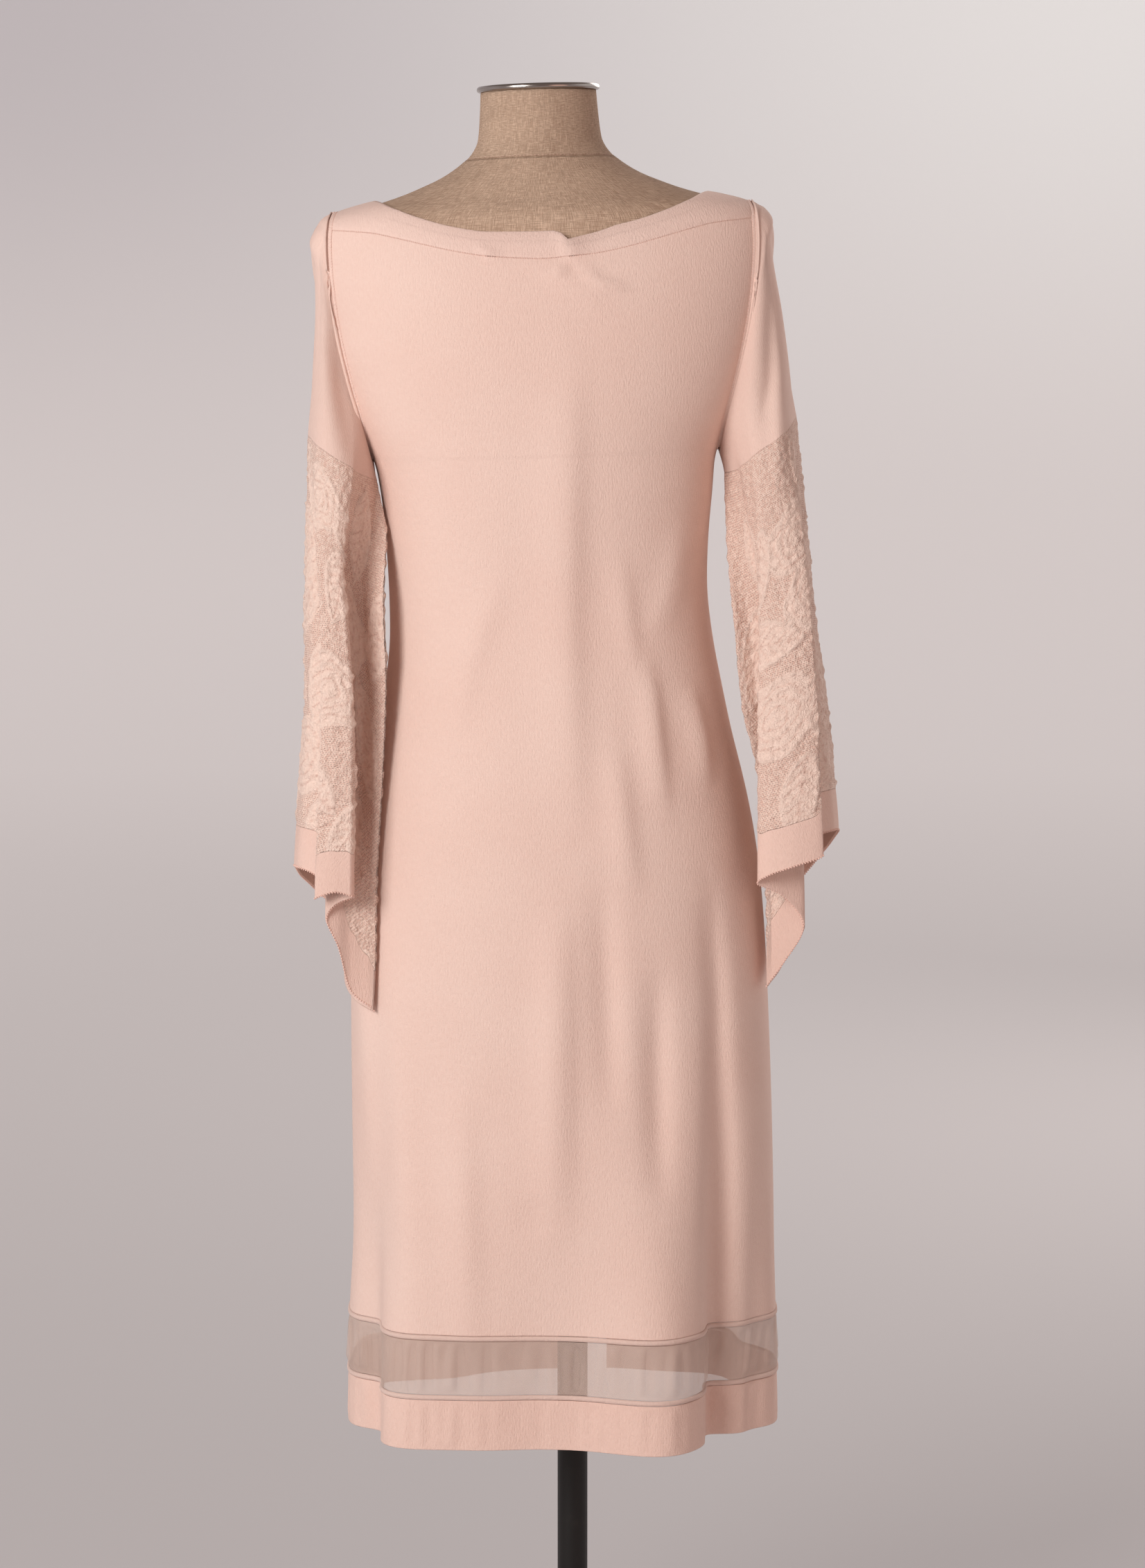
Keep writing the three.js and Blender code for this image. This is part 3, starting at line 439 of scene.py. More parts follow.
FRONT_CREASES = [
    ([(88, 1128), (74, 1068), (52, 1012)], 13, 10, 3.0),
    ([(-48, 1120), (-44, 1050), (-26, 996)], 11, 14, 2.8),
    ([(-104, 1040), (-92, 985), (-98, 925)], 9, 11, 3.2),
    ([(118, 1020), (108, 960), (112, 905)], 10, 9, 2.6),
    ([(20, 950), (14, 850), (20, 730), (12, 600)], 22, 17, 4.0),
    ([(-62, 760), (-70, 640), (-66, 520)], 14, 11, -4.2),
    ([(84, 800), (92, 690), (90, 560), (98, 430)], 12, 15, -4.6),
    ([(-130, 720), (-138, 590), (-134, 430)], 12, 10, 3.4),
    ([(150, 640), (146, 520), (150, 420)], 11, 14, 2.8),
    ([(-24, 560), (-20, 470), (-26, 400)], 15, 10, 2.2),
    ([(4, 1318), (0, 1262), (6, 1210)], 16, 20, 1.6),
]
CREASE_STEPS = 14


def along_line(x, z, line):
    """How far each point is from a line, to its left above 0, and what share of the line it is along."""
    line = np.array(line, float)
    spots = np.linspace(0, len(line) - 1, CREASE_STEPS)
    path = np.stack([np.interp(spots, range(len(line)), line[:, k]) for k in (0, 1)], axis=1)
    steps = np.diff(path, axis=0)
    lengths = np.hypot(steps[:, 0], steps[:, 1])
    before = np.concatenate([[0], np.cumsum(lengths)])
    nearest = np.full(x.shape, 1e9)
    side = np.zeros(x.shape)
    reached = np.zeros(x.shape)
    for (x0, z0), (dx, dz), length, start in zip(path, steps, lengths, before):
        run = ((x - x0) * dx + (z - z0) * dz) / length**2
        held = np.clip(run, 0, 1)
        away = np.hypot(x - x0 - held * dx, z - z0 - held * dz)
        closer = away < nearest
        nearest = np.where(closer, away, nearest)
        side = np.where(closer, np.sign((z - z0) * dx - (x - x0) * dz), side)
        reached = np.where(closer, start + held * length, reached)
    return nearest * side, reached / before[-1]


def crease_height(x, z, creases):
    height = np.zeros(x.shape)
    for line, left, right, depth in creases:
        away, share = along_line(x, z, line)
        width = np.where(away > 0, left, right)
        taper = np.sin(math.pi * np.clip(share, 0.02, 0.98)) ** 0.7
        height += depth * taper * np.exp(-((away / width) ** 2))
    return height


# %% [markdown]
# ## A point of the dress
# ring() gives a point of the body at an angle and a height: a rounded oval, with folds and creases on it.
# Every piece of the body reads its shape from here, so the seams between two pieces always meet.

# %% Dress surface
TILT_START_Z = 900
TILT_FULL_Z = 1100


def fold_depth(degrees, z):
    depth = 0
    for at, reach, deep, top in SKIRT_FOLDS:
        away = (degrees - at + 540) % 360 - 180
        depth = depth + deep * smooth((top - z) / (top - HEM_Z)) * np.exp(-((away / reach) ** 2))
    return depth


def dress_tilt(z):
    """How far the rings of the upper dress tilt with the leaning form."""
    return LEAN_SLOPE * smooth((z - TILT_START_Z) / (TILT_FULL_Z - TILT_START_Z))


def dress_axis(z):
    """The middle of the dress at each height."""
    return np.stack([dress_middle(z), 0 * z, z], axis=-1)


def plain_ring(degrees, z):
    """The oval and its skirt folds, without creases."""
    degrees, z = np.broadcast_arrays(np.asarray(degrees, float), np.asarray(z, float))
    angle = np.radians(degrees)
    c, s = np.cos(angle), np.sin(angle)
    share = 2 / dress_power(z)
    fold = fold_depth(degrees, z)
    behind = s >= 0
    depth = np.where(behind, dress_back(z), dress_front(z))
    across = (dress_half(z) + fold) * signed_power(c, share)
    lift = FRONT_LIFT * s * s * smooth((LIFT_END_Z - z) / (LIFT_END_Z - HEM_Z)) * ~behind
    out = (depth + fold) * signed_power(s, share) + np.where(behind, 1, -1) * SEAM_GAP / 2
    return np.stack([dress_middle(z) + across, out, z - across * dress_tilt(z) + lift], axis=-1)


def ring_normal(degrees, z):
    step = 0.4
    along = plain_ring(degrees + step, z) - plain_ring(degrees - step, z)
    return unit(np.stack([along[..., 1], -along[..., 0], np.zeros(along.shape[:-1])], axis=-1))


# The band's overlap behind the neck: one end of a small pleat lies over the other. Each row is a pleat:
# its line, height, width to either side, the height where it is fullest and its reach up and down.
PLEATS = [
    ([(12, 1368), (9, 1360), (2, 1340)], 4.6, 2.0, 13, 1354, 24),
    ([(80, 1351), (70, 1343)], 2.6, 1.6, 7, 1347, 12),
]
DIMPLE_X = 2
DIMPLE_Z = 1338
DIMPLE_SIZE = 5
DIMPLE_DEPTH = 0.8


def pleat_height(x, z):
    height = np.zeros(x.shape)
    for line, rise, left, right, full_z, reach in PLEATS:
        away, _ = along_line(x, z, line)
        step = np.exp(-((away / np.where(away > 0, left, right)) ** 2))
        height += rise * step * smooth(1 - np.abs(z - full_z) / reach)
    dimple = np.exp(-((np.hypot(x - DIMPLE_X, z - DIMPLE_Z) / DIMPLE_SIZE) ** 2))
    return height - DIMPLE_DEPTH * dimple


def ring(degrees, z):
    """A point of the dress, with its folds and creases."""
    degrees, z = np.broadcast_arrays(np.asarray(degrees, float), np.asarray(z, float))
    place = plain_ring(degrees, z)
    behind = np.sin(np.radians(degrees)) >= 0
    x, height = place[..., 0], place[..., 2]
    back = crease_height(x, height, BACK_CREASES) + pleat_height(x, height)
    front = crease_height(x, height, FRONT_CREASES)
    from_side = smooth(np.abs(np.sin(np.radians(degrees))) / 0.35)
    out = np.where(behind, back, front) * from_side
    return place + ring_normal(degrees, z) * out[..., None]


def shoulder_height():
    low, high = BAND_JOIN_Z, NECK_CORNER_Z
    for _ in range(40):
        z = (low + high) / 2
        low, high = (z, high) if dress_half(z) > dress_arm(z) else (low, z)
    return low


SHOULDER_Z = shoulder_height()


# The columns of a panel lean in towards the armhole only near it.
ARMHOLE_DRAW = 1.5


def armhole_angle(z):
    share = np.minimum(1, np.maximum(dress_arm(z), 0) / dress_half(z)) ** (dress_power(z) / 2)
    angle = np.degrees(np.arccos(np.minimum(1, share)))
    return np.where((z <= UNDERARM_Z) | (z >= SHOULDER_Z), 0, angle)


def body_angle(face, across, z):
    """The angle of a point of the back (face 1) or front (face -1), -1 at the right to 1 at the left."""
    across, z = np.broadcast_arrays(np.asarray(across, float), np.asarray(z, float))
    edge = np.minimum(89.999, across * (90 - armhole_angle(z) * np.abs(across) ** ARMHOLE_DRAW))
    edge = edge * np.where(np.abs(across) >= 1, 0.99999, 1)
    return face * (90 - edge)


def body_point(face, across, z):
    return ring(body_angle(face, across, z), z)


print("shoulder seam ends at", round(SHOULDER_Z, 1), "mm")

# %% [markdown]
# ## Walls of cloth
# Real cloth has two faces and an edge. wall() takes a grid of points on the outside, finds which way is
# out, and lays a second grid inside it, so each piece is a closed shell as thick as the knit.
# The same grid gives the cloth map: how far across and along the flat cloth each point lies.

# %% Wall helper
def grid_normals(outer, closed, away_from):
    down = np.gradient(outer, axis=0)
    if closed:
        along = np.roll(outer, -1, axis=1) - np.roll(outer, 1, axis=1)
    else:
        along = np.gradient(outer, axis=1)
    normal = unit(np.cross(along, down))
    facing = 1 if (normal * (outer - away_from)).sum() > 0 else -1
    return normal, facing


def cloth_map(outer, closed):
    """Distances across and along the cloth, in millimetres, from its middle column or once round a tube."""
    ring_of = np.concatenate([outer, outer[:, :1]], axis=1) if closed else outer
    steps = np.linalg.norm(np.diff(ring_of, axis=1), axis=-1)
    across = np.concatenate([np.zeros((len(outer), 1)), np.cumsum(steps, axis=1)], axis=1)
    if closed:
        across = across / across[:, -1:] * across[:, -1].mean()
    else:
        across = across - across[:, across.shape[1] // 2][:, None]
    falls = np.linalg.norm(np.diff(ring_of, axis=0), axis=-1).mean(axis=1)
    along = np.concatenate([[0], np.cumsum(falls)])
    return np.stack([across, np.broadcast_to(along[:, None], across.shape)], axis=-1)


def grid_cells(rows, columns, closed, flat):
    """The corners of each cell of a grid, as point numbers and as places on the cloth map."""
    i, j = np.meshgrid(np.arange(rows - 1), np.arange(columns if closed else columns - 1), indexing="ij")
    cells = [(i, j), (i, j + 1), (i + 1, j + 1), (i + 1, j)]
    quads = np.stack([row * columns + column % columns for row, column in cells], axis=-1).reshape(-1, 4)
    spots = np.stack([flat[row, column] for row, column in cells], axis=2).reshape(-1, 4, 2)
    return quads, spots


def mesh_piece(name, places, faces, finish, corners=None, values=None):
    """A mesh from points in millimetres, with its cloth map and its numbers for each point."""
    mesh = bpy.data.meshes.new(name)
    mesh.from_pydata((np.asarray(places) * MM).tolist(), [], faces)
    mesh.shade_smooth()
    if corners is not None:
        layer = mesh.uv_layers.new(name="cloth")
        layer.data.foreach_set("uv", (np.asarray(corners) * MM).astype(np.float32).ravel())
    for label, numbers in (values or {}).items():
        attribute = mesh.attributes.new(label, "FLOAT", "POINT")
        attribute.data.foreach_set("value", np.asarray(numbers, np.float32).ravel())
    mesh.materials.append(finish)
    return in_scene(name, mesh)


def wall(name, outer, thickness, finish, away_from, closed=False, raised=None, values=None):
    """A closed shell of cloth: the outside grid, an inside grid under it, and rims along the edges."""
    rows, columns = outer.shape[:2]
    normal, facing = grid_normals(outer, closed, away_from)
    inner = outer - normal * facing * thickness
    if raised is not None:
        outer = outer + normal * facing * raised[..., None]
    flat = cloth_map(outer, closed)
    quads, spots = grid_cells(rows, columns, closed, flat)
    turned = slice(None) if facing > 0 else slice(None, None, -1)
    inside = rows * columns
    faces = [quads[:, turned], quads[:, ::-1][:, turned] + inside]
    maps = [spots[:, turned], spots[:, ::-1][:, turned]]
    j = np.arange(columns if closed else columns - 1)
    last_row, last_column = rows - 1, columns - 1
    rims = [((0 * j, j), (0 * j, j + 1)), ((0 * j + last_row, j + 1), (0 * j + last_row, j))]
    if not closed:
        i = np.arange(rows - 1)
        rims.append(((i + 1, 0 * i), (i, 0 * i)))
        rims.append(((i, 0 * i + last_column), (i + 1, 0 * i + last_column)))
    for (r0, c0), (r1, c1) in rims:
        a = r0 * columns + c0 % columns
        b = r1 * columns + c1 % columns
        faces.append(np.stack([b, a, a + inside, b + inside], axis=-1)[:, turned])
        maps.append(np.stack([flat[r1, c1], flat[r0, c0], flat[r0, c0], flat[r1, c1]], axis=1)[:, turned])
    places = np.concatenate([outer.reshape(-1, 3), inner.reshape(-1, 3)])
    both = {label: np.concatenate([v.ravel(), v.ravel()]) for label, v in (values or {}).items()}
    corners = np.concatenate(maps).reshape(-1, 2)
    return mesh_piece(name, places, np.concatenate(faces).tolist(), finish, corners, both)


def with_ends(levels, step):
    """The same levels with one more close to each end, so that a wall's rim has a tight corner."""
    way = 1 if levels[-1] > levels[0] else -1
    return np.array([levels[0], levels[0] + way * step, *levels[1:-1], levels[-1] - way * step, levels[-1]])


def swept(name, path, normals, wide, high, finish, sides=8, closed=False):
    """A soft roll of cloth or thread along a path, wide along the cloth and high off it."""
    ahead = np.roll(path, -1, axis=0) - np.roll(path, 1, axis=0)
    if not closed:
        ahead[0], ahead[-1] = path[1] - path[0], path[-1] - path[-2]
    ahead = unit(ahead)
    across = unit(np.cross(ahead, normals))
    up = np.cross(across, ahead)
    c, s = np.cos(once_round(sides)), np.sin(once_round(sides))
    rings = path[:, None] + wide * c[None, :, None] * across[:, None] + high * s[None, :, None] * up[:, None]
    lengths = np.linalg.norm(np.diff(path, axis=0), axis=1)
    run = np.concatenate([[0], np.cumsum(lengths), [np.sum(lengths) + lengths[-1]]])
    count = len(path)
    faces, corners = [], []
    for i in range(count if closed else count - 1):
        for k in range(sides):
            cell = ((i, k), (i, k + 1), (i + 1, k + 1), (i + 1, k))
            faces.append([row % count * sides + column % sides for row, column in cell])
            corners += [(run[row], column * 2 * high) for row, column in cell]
    if not closed:
        faces.append(list(range(sides))[::-1])
        faces.append([(count - 1) * sides + k for k in range(sides)])
        corners += [(0, 0)] * 2 * sides
    return mesh_piece(name, rings.reshape(-1, 3), faces, finish, corners)


# %% [markdown]
# ## The pink knit
# Fine jersey is rows of small V-shaped stitches. Across one stitch the height rises and falls twice, and
# the two legs of the V climb along the wale. The pattern is tiny, so it only has to catch the light, and a
# little painted shade darkens the low parts of each stitch.

# %% Knit finish
LIT_PINK = linear(243, 216, 204)
DEEP_PINK = linear(237, 205, 192)
WALE = 1.25
COURSE = 1.0
YARN = {
    "Sheen_Roughness": 0.45, "Sheen_Tint": (1.0, 0.86, 0.80, 1.0), "Specular_IOR_Level": 0.25,
}


def stitch_height(across, along, wale=WALE, course=COURSE):
    """The height of the yarn in a stitch: two legs of a V, each round across."""
    leg = ((across / wale).part() * 2 - 1).size()
    climb = (along / course + leg * 0.55).part()
    bow = 1 - (climb * 2 - 1).size()
    return bow * (1 - leg ** 5)


def knit_finish(name, first=LIT_PINK, second=DEEP_PINK, depth=0.35, wale=WALE):
    knit = Finish(name)
    across, along = knit.cloth_place()
    height = stitch_height(across, along, wale)
    cloudy = knit.noise(9.0, 3.0)
    streak = knit.add("ShaderNodeCombineXYZ", {0: across * 0.62, 1: along * 0.2, 2: 0.0})
    grain = knit.noise(1.0, 3.0, 0.65, streak)
    # Painted shade: the low parts of each stitch, between the yarn, take a little of the deeper pink. The
    # rest of the tone is random mottle and streaks.
    tone = cloudy.between(0.3, 0.7) * 0.4 + grain.between(0.25, 0.75) * 0.5 + (1 - height) * 0.1
    shade = knit.colour(tone, first, second)
    normal = knit.bump(height * 0.35 + grain * 2.4, depth * MM, 0.9)
    return knit.finish(Base_Color=shade, Roughness=0.88, Normal=normal, Sheen_Weight=0.25, **YARN)


pink_knit = knit_finish("pink_knit")
band_knit = knit_finish("band_knit", linear(245, 218, 206), linear(239, 208, 196), 0.45, 1.5)
hem_knit = knit_finish("hem_knit", linear(243, 212, 199), linear(236, 201, 187), 0.4, 1.35)

# %% [markdown]
# ## Body panels
# The back and the front are the two large pieces. Each runs from the upper rolled seam of the skirt to
# the neckline band, and its top edge follows the band's seam. A grid of small cells, about 3 mm, is fine
# enough for the creases and still light.

# %% Body panels
PANEL_COLUMNS = 132
PANEL_ROWS = 250
KNIT_THICKNESS = 1.4
PIPING_REACH = 2.6
UPPER_PIPING_Z = 415.6
LOWER_PIPING_Z = 363.8
PANEL_BOTTOM_Z = UPPER_PIPING_Z + PIPING_REACH
FRONT = -1
BACK = 1
NOTCH_DEPTH = 8.0
NOTCH_FROM_X = -36
NOTCH_RUN = 42
NOTCH_TO_X = 11.5


def notch(x):
    """The dip of the neckline where the back band's pleat ends."""
    right = np.clip((x - NOTCH_FROM_X) / NOTCH_RUN, 0, 1)
    return -NOTCH_DEPTH * right * smooth((NOTCH_TO_X - x) / 5.0)


def height_on(face, across, line, dip=None):
    """The height on each column where it crosses a line given by distance from the middle."""
    z = np.full(np.shape(across), float(line(0.0)))
    for _ in range(30):
        x = plain_ring(body_angle(face, across, z), z)[..., 0]
        target = line(np.abs(x - dress_middle(z)))
        if dip is not None:
            target = target + dip(x)
        z = z + 0.5 * (target - z)
    return z


NECKS = {BACK: curves(BACK_NECK), FRONT: curves(FRONT_NECK)}
panel_columns = with_ends(np.linspace(-1, 1, PANEL_COLUMNS), 0.004)


def body_panel(name, face):
    seam = height_on(face, panel_columns, NECKS[face][0])
    seam[[0, -1]] = BAND_JOIN_Z
    levels = with_ends(np.linspace(PANEL_BOTTOM_Z, BAND_JOIN_Z, PANEL_ROWS), 0.9)[:, None]
    share = (levels - UNDERARM_Z) / (BAND_JOIN_Z - UNDERARM_Z)
    z = np.where(levels <= UNDERARM_Z, levels, UNDERARM_Z + share * (seam[None] - UNDERARM_Z))
    outer = body_point(face, panel_columns[None], z)
    piece = wall(name, outer, KNIT_THICKNESS, pink_knit, dress_axis(z))
    print(name, "faces:", len(piece.data.polygons))
    return piece


back_body = body_panel("back_body", BACK)
front_body = body_panel("front_body", FRONT)

# %% [markdown]
# ## Neckline band
# A firm band of doubled knit finishes the neck. At the back one end of a small pleat overlaps the other,
# which drops the edge beside it by 8 mm. The band is a little thicker than the body.

# %% Neckline band
BAND_ROWS = 16
BAND_THICKNESS = 2.0
BAND_RISE = 0.5


def neck_band(name, face):
    seam = height_on(face, panel_columns, NECKS[face][0])
    edge = height_on(face, panel_columns, NECKS[face][1], notch if face == BACK else None)
    seam[[0, -1]] = BAND_JOIN_Z
    edge[[0, -1]] = NECK_CORNER_Z
    share = with_ends(np.linspace(0, 1, BAND_ROWS), 0.03)[:, None]
    z = seam[None] + share * (edge - seam)[None]
    outer = body_point(face, panel_columns[None], z)
    outer[0, :, 2] += SEAM_GAP
    rise = BAND_RISE * window(share, 0, 0.12, 1.02, 0.1)
    raised = np.broadcast_to(rise, z.shape) * smooth((1 - np.abs(panel_columns)) / 0.02)
    return wall(name, outer, BAND_THICKNESS, band_knit, dress_axis(z), raised=raised)


back_band = neck_band("neckline_band_back", BACK)
front_band = neck_band("neckline_band_front", FRONT)

# %% [markdown]
# ## Sleeves
# A sleeve starts at the armhole, hangs as an oval tube and opens into a bell whose hem falls in pleats.
# One table gives the tube's sides and depths at heights, another how the cloth leaves the shoulder, and
# a third the hem, round from the underarm by the back and the outside to the front.
#
# The lace starts at lace_top, and lace_drop lower by the body. The pleats fade out between the two heights
# of folds. near says where the fold beside the body stands at each height, and recess how far the cloth
# sinks in beside it. ridge_rise lifts the ridge of the armhole.

# %% Sleeve tables
SLEEVES = {
    "left": {
        "side": 1, "lace_top": 1190, "lace_drop": 38, "folds": (1215, 1040), "recess": 20, "ridge_rise": 0.35,
        "near": [(690, 187), (798, 187), (910, 186), (974, 188), (1038, 192), (1102, 200), (1230, 204)],
        "creases": [([(206, 1285), (197, 1225), (187, 1165)], 8, 11, -8.0)],
        "levels": [
            (690, 170, 245, 104, 70), (811, 168, 243, 102, 70), (900, 163, 237, 96, 69),
            (985, 160, 232, 88, 67), (1045, 162, 232, 83, 66), (1110, 160, 232, 77, 64),
            (1180, 168, 231, 69, 62), (1230, 178, 229, 62, 60),
        ],
        "shoulder": [
            (0, 0), (0.03, 0.36), (0.07, 0.72), (0.13, 0.93), (0.22, 0.78), (0.4, 0.74),
            (0.7, 0.86), (1, 1),
        ],
        "hem": [
            (0, 170, 81, 695), (0.05, 192, 85, 713), (0.095, 203, 90, 752), (0.12, 213, 94, 776),
            (0.15, 203, 101, 791), (0.19, 187, 110, 798), (0.24, 191, 117, 800), (0.31, 204, 117, 803),
            (0.37, 222, 112, 797), (0.41, 216, 93, 801), (0.45, 224, 74, 812), (0.5, 241, 56, 817),
            (0.55, 246, 26, 815), (0.63, 243, -8, 803), (0.71, 234, -42, 788), (0.79, 220, -62, 770),
            (0.86, 208, -52, 752), (0.91, 203, -22, 734), (0.95, 200, 14, 716), (0.98, 189, 55, 702),
            (1, 170, 81, 695),
        ],
    },
    "right": {
        "side": -1, "lace_top": 1206, "lace_drop": 48, "folds": (1240, 1000), "recess": 8, "ridge_rise": 0.0,
        "near": [(708, -159), (843, -159), (1036, -161), (1139, -166), (1230, -168)],
        "creases": [
            ([(-159, 1304), (-152, 1212)], 6, 8, 2.5),
            ([(-171, 1348), (-170, 1243), (-163, 1195)], 6, 7, -5.5),
            ([(-182, 1262), (-178, 1193), (-174, 1138)], 7, 8, 4.0),
        ],
        "levels": [
            (708, -159, -237, 100, 70), (843, -157, -234, 98, 70), (907, -148, -228, 94, 69),
            (959, -135, -222, 90, 68), (1015, -130, -215, 85, 67), (1080, -127, -208, 78, 65),
            (1180, -131, -198, 68, 62), (1230, -137, -193, 62, 60),
        ],
        "shoulder": [
            (0, 0), (0.03, 0.34), (0.09, 0.52), (0.15, 0.48), (0.25, 0.52), (0.5, 0.72),
            (0.75, 0.88), (1, 1),
        ],
        "hem": [
            (0, -169, 60, 713), (0.05, -184, 66, 735), (0.1, -201, 74, 768), (0.145, -182, 84, 796),
            (0.19, -159, 95, 808), (0.25, -168, 106, 816), (0.31, -192, 111, 825), (0.37, -217, 106, 834),
            (0.41, -210, 86, 840), (0.45, -216, 62, 846), (0.5, -232, 40, 848), (0.56, -237, 12, 844),
            (0.64, -232, -24, 830), (0.72, -220, -52, 810), (0.8, -204, -62, 788), (0.87, -192, -45, 764),
            (0.92, -188, -12, 744), (0.96, -183, 24, 726), (1, -169, 60, 713),
        ],
    },
}
CUFF_HEIGHT = 35
CLEAR_OF_CLOTH = 3.4
CLEAR_AT_HEM = 6
SLEEVE_POWER = 2.2
NEAR_FOLD = 0.19
RECESS_LOW_Z = 790
RECESS_RUN = 90
UNDERARM_ROWS = 9
ARM_LEVELS = np.array([
    *(UNDERARM_Z + (BAND_JOIN_Z - UNDERARM_Z) * (np.arange(UNDERARM_ROWS + 1) / UNDERARM_ROWS) ** 1.45),
    1378, 1383.4, SHOULDER_Z,
])


# %% Sleeve surface
def hang_of(share):
    """1 at the underarm and 0 at the outside of the arm."""
    return (1 + np.cos(2 * np.pi * share)) / 2


def armhole_point(side, share):
    """A point of the armhole seam, by share round it from the underarm."""
    top = len(ARM_LEVELS) - 1
    place = (share % 1) * 2 * top
    behind = place <= top
    z = np.interp(np.where(behind, place, 2 * top - place), np.arange(top + 1), ARM_LEVELS)
    edge = np.where(behind[..., None], body_point(BACK, side, z), body_point(FRONT, side, z))
    edge[..., 0] += side * SEAM_GAP
    return edge


def clear_of_body(place):
    """Moves points out until they stand clear of the dress."""
    x, y, height = place[..., 0], place[..., 1], place[..., 2]
    gap = CLEAR_OF_CLOTH + CLEAR_AT_HEM * smooth((780 - height) / 200)
    z = height + (x - dress_middle(height)) * dress_tilt(height)
    depth = np.where(y >= 0, dress_back(z), dress_front(z))
    middle = dress_middle(z)
    beyond = np.abs(x - middle) - dress_arm(z)
    reach = np.where(z < UNDERARM_Z - 4, gap, gap * smooth((14 - beyond) / 12))
    power = dress_power(z)
    value = np.abs((x - middle) / (dress_half(z) + reach)) ** power + np.abs(y / (depth + reach)) ** power
    grow = np.where(value < 1, np.maximum(value, 1e-6) ** (-1 / power), 1)
    return np.stack([middle + (x - middle) * grow, y * grow, height], axis=-1)


class Sleeve:
    """The shape of one sleeve, read by share round it and level down it."""

    def __init__(self, table):
        self.side = table["side"]
        self.table = table
        self.inner, self.outer, self.back, self.front = curves(table["levels"])
        self.near = curves(table["near"])[0]
        self.shoulder_out = curves(table["shoulder"])[0]
        self.hem_x, self.hem_y, self.hem_z = curves(table["hem"])
        self.lowest = table["levels"][0]

    def lace_line(self, share):
        return self.table["lace_top"] - self.table["lace_drop"] * hang_of(share)

    def cuff_line(self, share):
        """The cuff's seam, which stands higher where the hem is steep."""
        before, after = (share + 0.98) % 1, (share + 0.02) % 1
        run = np.hypot(self.hem_x(after) - self.hem_x(before), self.hem_y(after) - self.hem_y(before))
        slope = np.minimum(1.1, np.abs(self.hem_z(after) - self.hem_z(before)) / run)
        return self.hem_z(share) + CUFF_HEIGHT * np.hypot(1, slope)

    def tube(self, share, z):
        """An oval at the top, which takes on the pleats of the hem further down."""
        c, s = np.cos(2 * np.pi * share), np.sin(2 * np.pi * share)
        power = 2 / SLEEVE_POWER
        inner, outer = self.inner(z), self.outer(z)
        depth = np.where(s >= 0, self.back(z), self.front(z))
        x = (inner + outer) / 2 + (inner - outer) / 2 * signed_power(c, power)
        y = depth * signed_power(s, power)
        _, low_inner, low_outer, low_back, _ = self.lowest
        across = (self.hem_x(share) - low_inner) / (low_outer - low_inner)
        edge_across = (self.hem_x(NEAR_FOLD) - low_inner) / (low_outer - low_inner)
        shift = self.near(z) - inner - edge_across * (outer - inner)
        by_fold = window(share, 0.11, 0.07, 0.45, 0.19)
        folded_x = inner + across * (outer - inner) + shift * by_fold
        sunk = window(share, 0, 0.05, 0.17, 0.05) * smooth((z - RECESS_LOW_Z) / RECESS_RUN)
        folded_y = self.hem_y(share) * self.back(z) / low_back - self.table["recess"] * sunk
        start, full = self.table["folds"]
        grown = smooth((start - z) / (start - full))
        return np.stack([x + (folded_x - x) * grown, y + (folded_y - y) * grown, z + 0 * x], axis=-1)

    def point(self, share, level):
        """Levels 0 to 1 are the plain top, 1 to 2 the lace and 2 to 3 the cuff."""
        edge = armhole_point(self.side, np.asarray(share, float))
        share, level = np.broadcast_arrays(np.asarray(share, float) % 1, np.asarray(level, float))
        lace, cuff = self.lace_line(share), self.cuff_line(share)
        low = np.where(level <= 2, lace + (cuff - lace) * (level - 1),
                       cuff + (self.hem_z(share) - cuff) * (level - 2))
        hanging = clear_of_body(self.tube(share, low))
        z = edge[..., 2] + (lace - edge[..., 2]) * level
        place = self.tube(share, z)
        top = (1 - hang_of(share)) ** 3
        drop = np.clip(level, 0, 1)
        out = (1 - top) * drop**0.75 + top * self.shoulder_out(drop)
        place[..., 0] = edge[..., 0] + (place[..., 0] - edge[..., 0]) * out
        place[..., 1] = edge[..., 1] + (place[..., 1] - edge[..., 1]) * drop**0.8
        upper = clear_of_body(place)
        found = np.where((level > 1)[..., None], hanging, upper)
        behind = smooth(np.sin(2 * np.pi * share) / 0.3) * smooth(level / 0.12)
        found[..., 1] += crease_height(found[..., 0], found[..., 2], self.table["creases"]) * behind
        return np.where((level <= 0)[..., None], edge, found)


sleeve_shapes = {name: Sleeve(table) for name, table in SLEEVES.items()}

# %% [markdown]
# ## Lace of leaves and roses
# The sleeve's lace is knitted in one go: an open ground of small holes, and solid leaves and roses on it
# that pucker and stand a little proud. The motifs are plain garden ones drawn here by formula. They are
# kept on the mesh as two numbers a point: how solid the cloth is, and where a vein of fine holes runs.

# %% Lace motifs
def soft_inside(distance, blur=1.1):
    return smooth(0.5 - distance / (2 * blur))


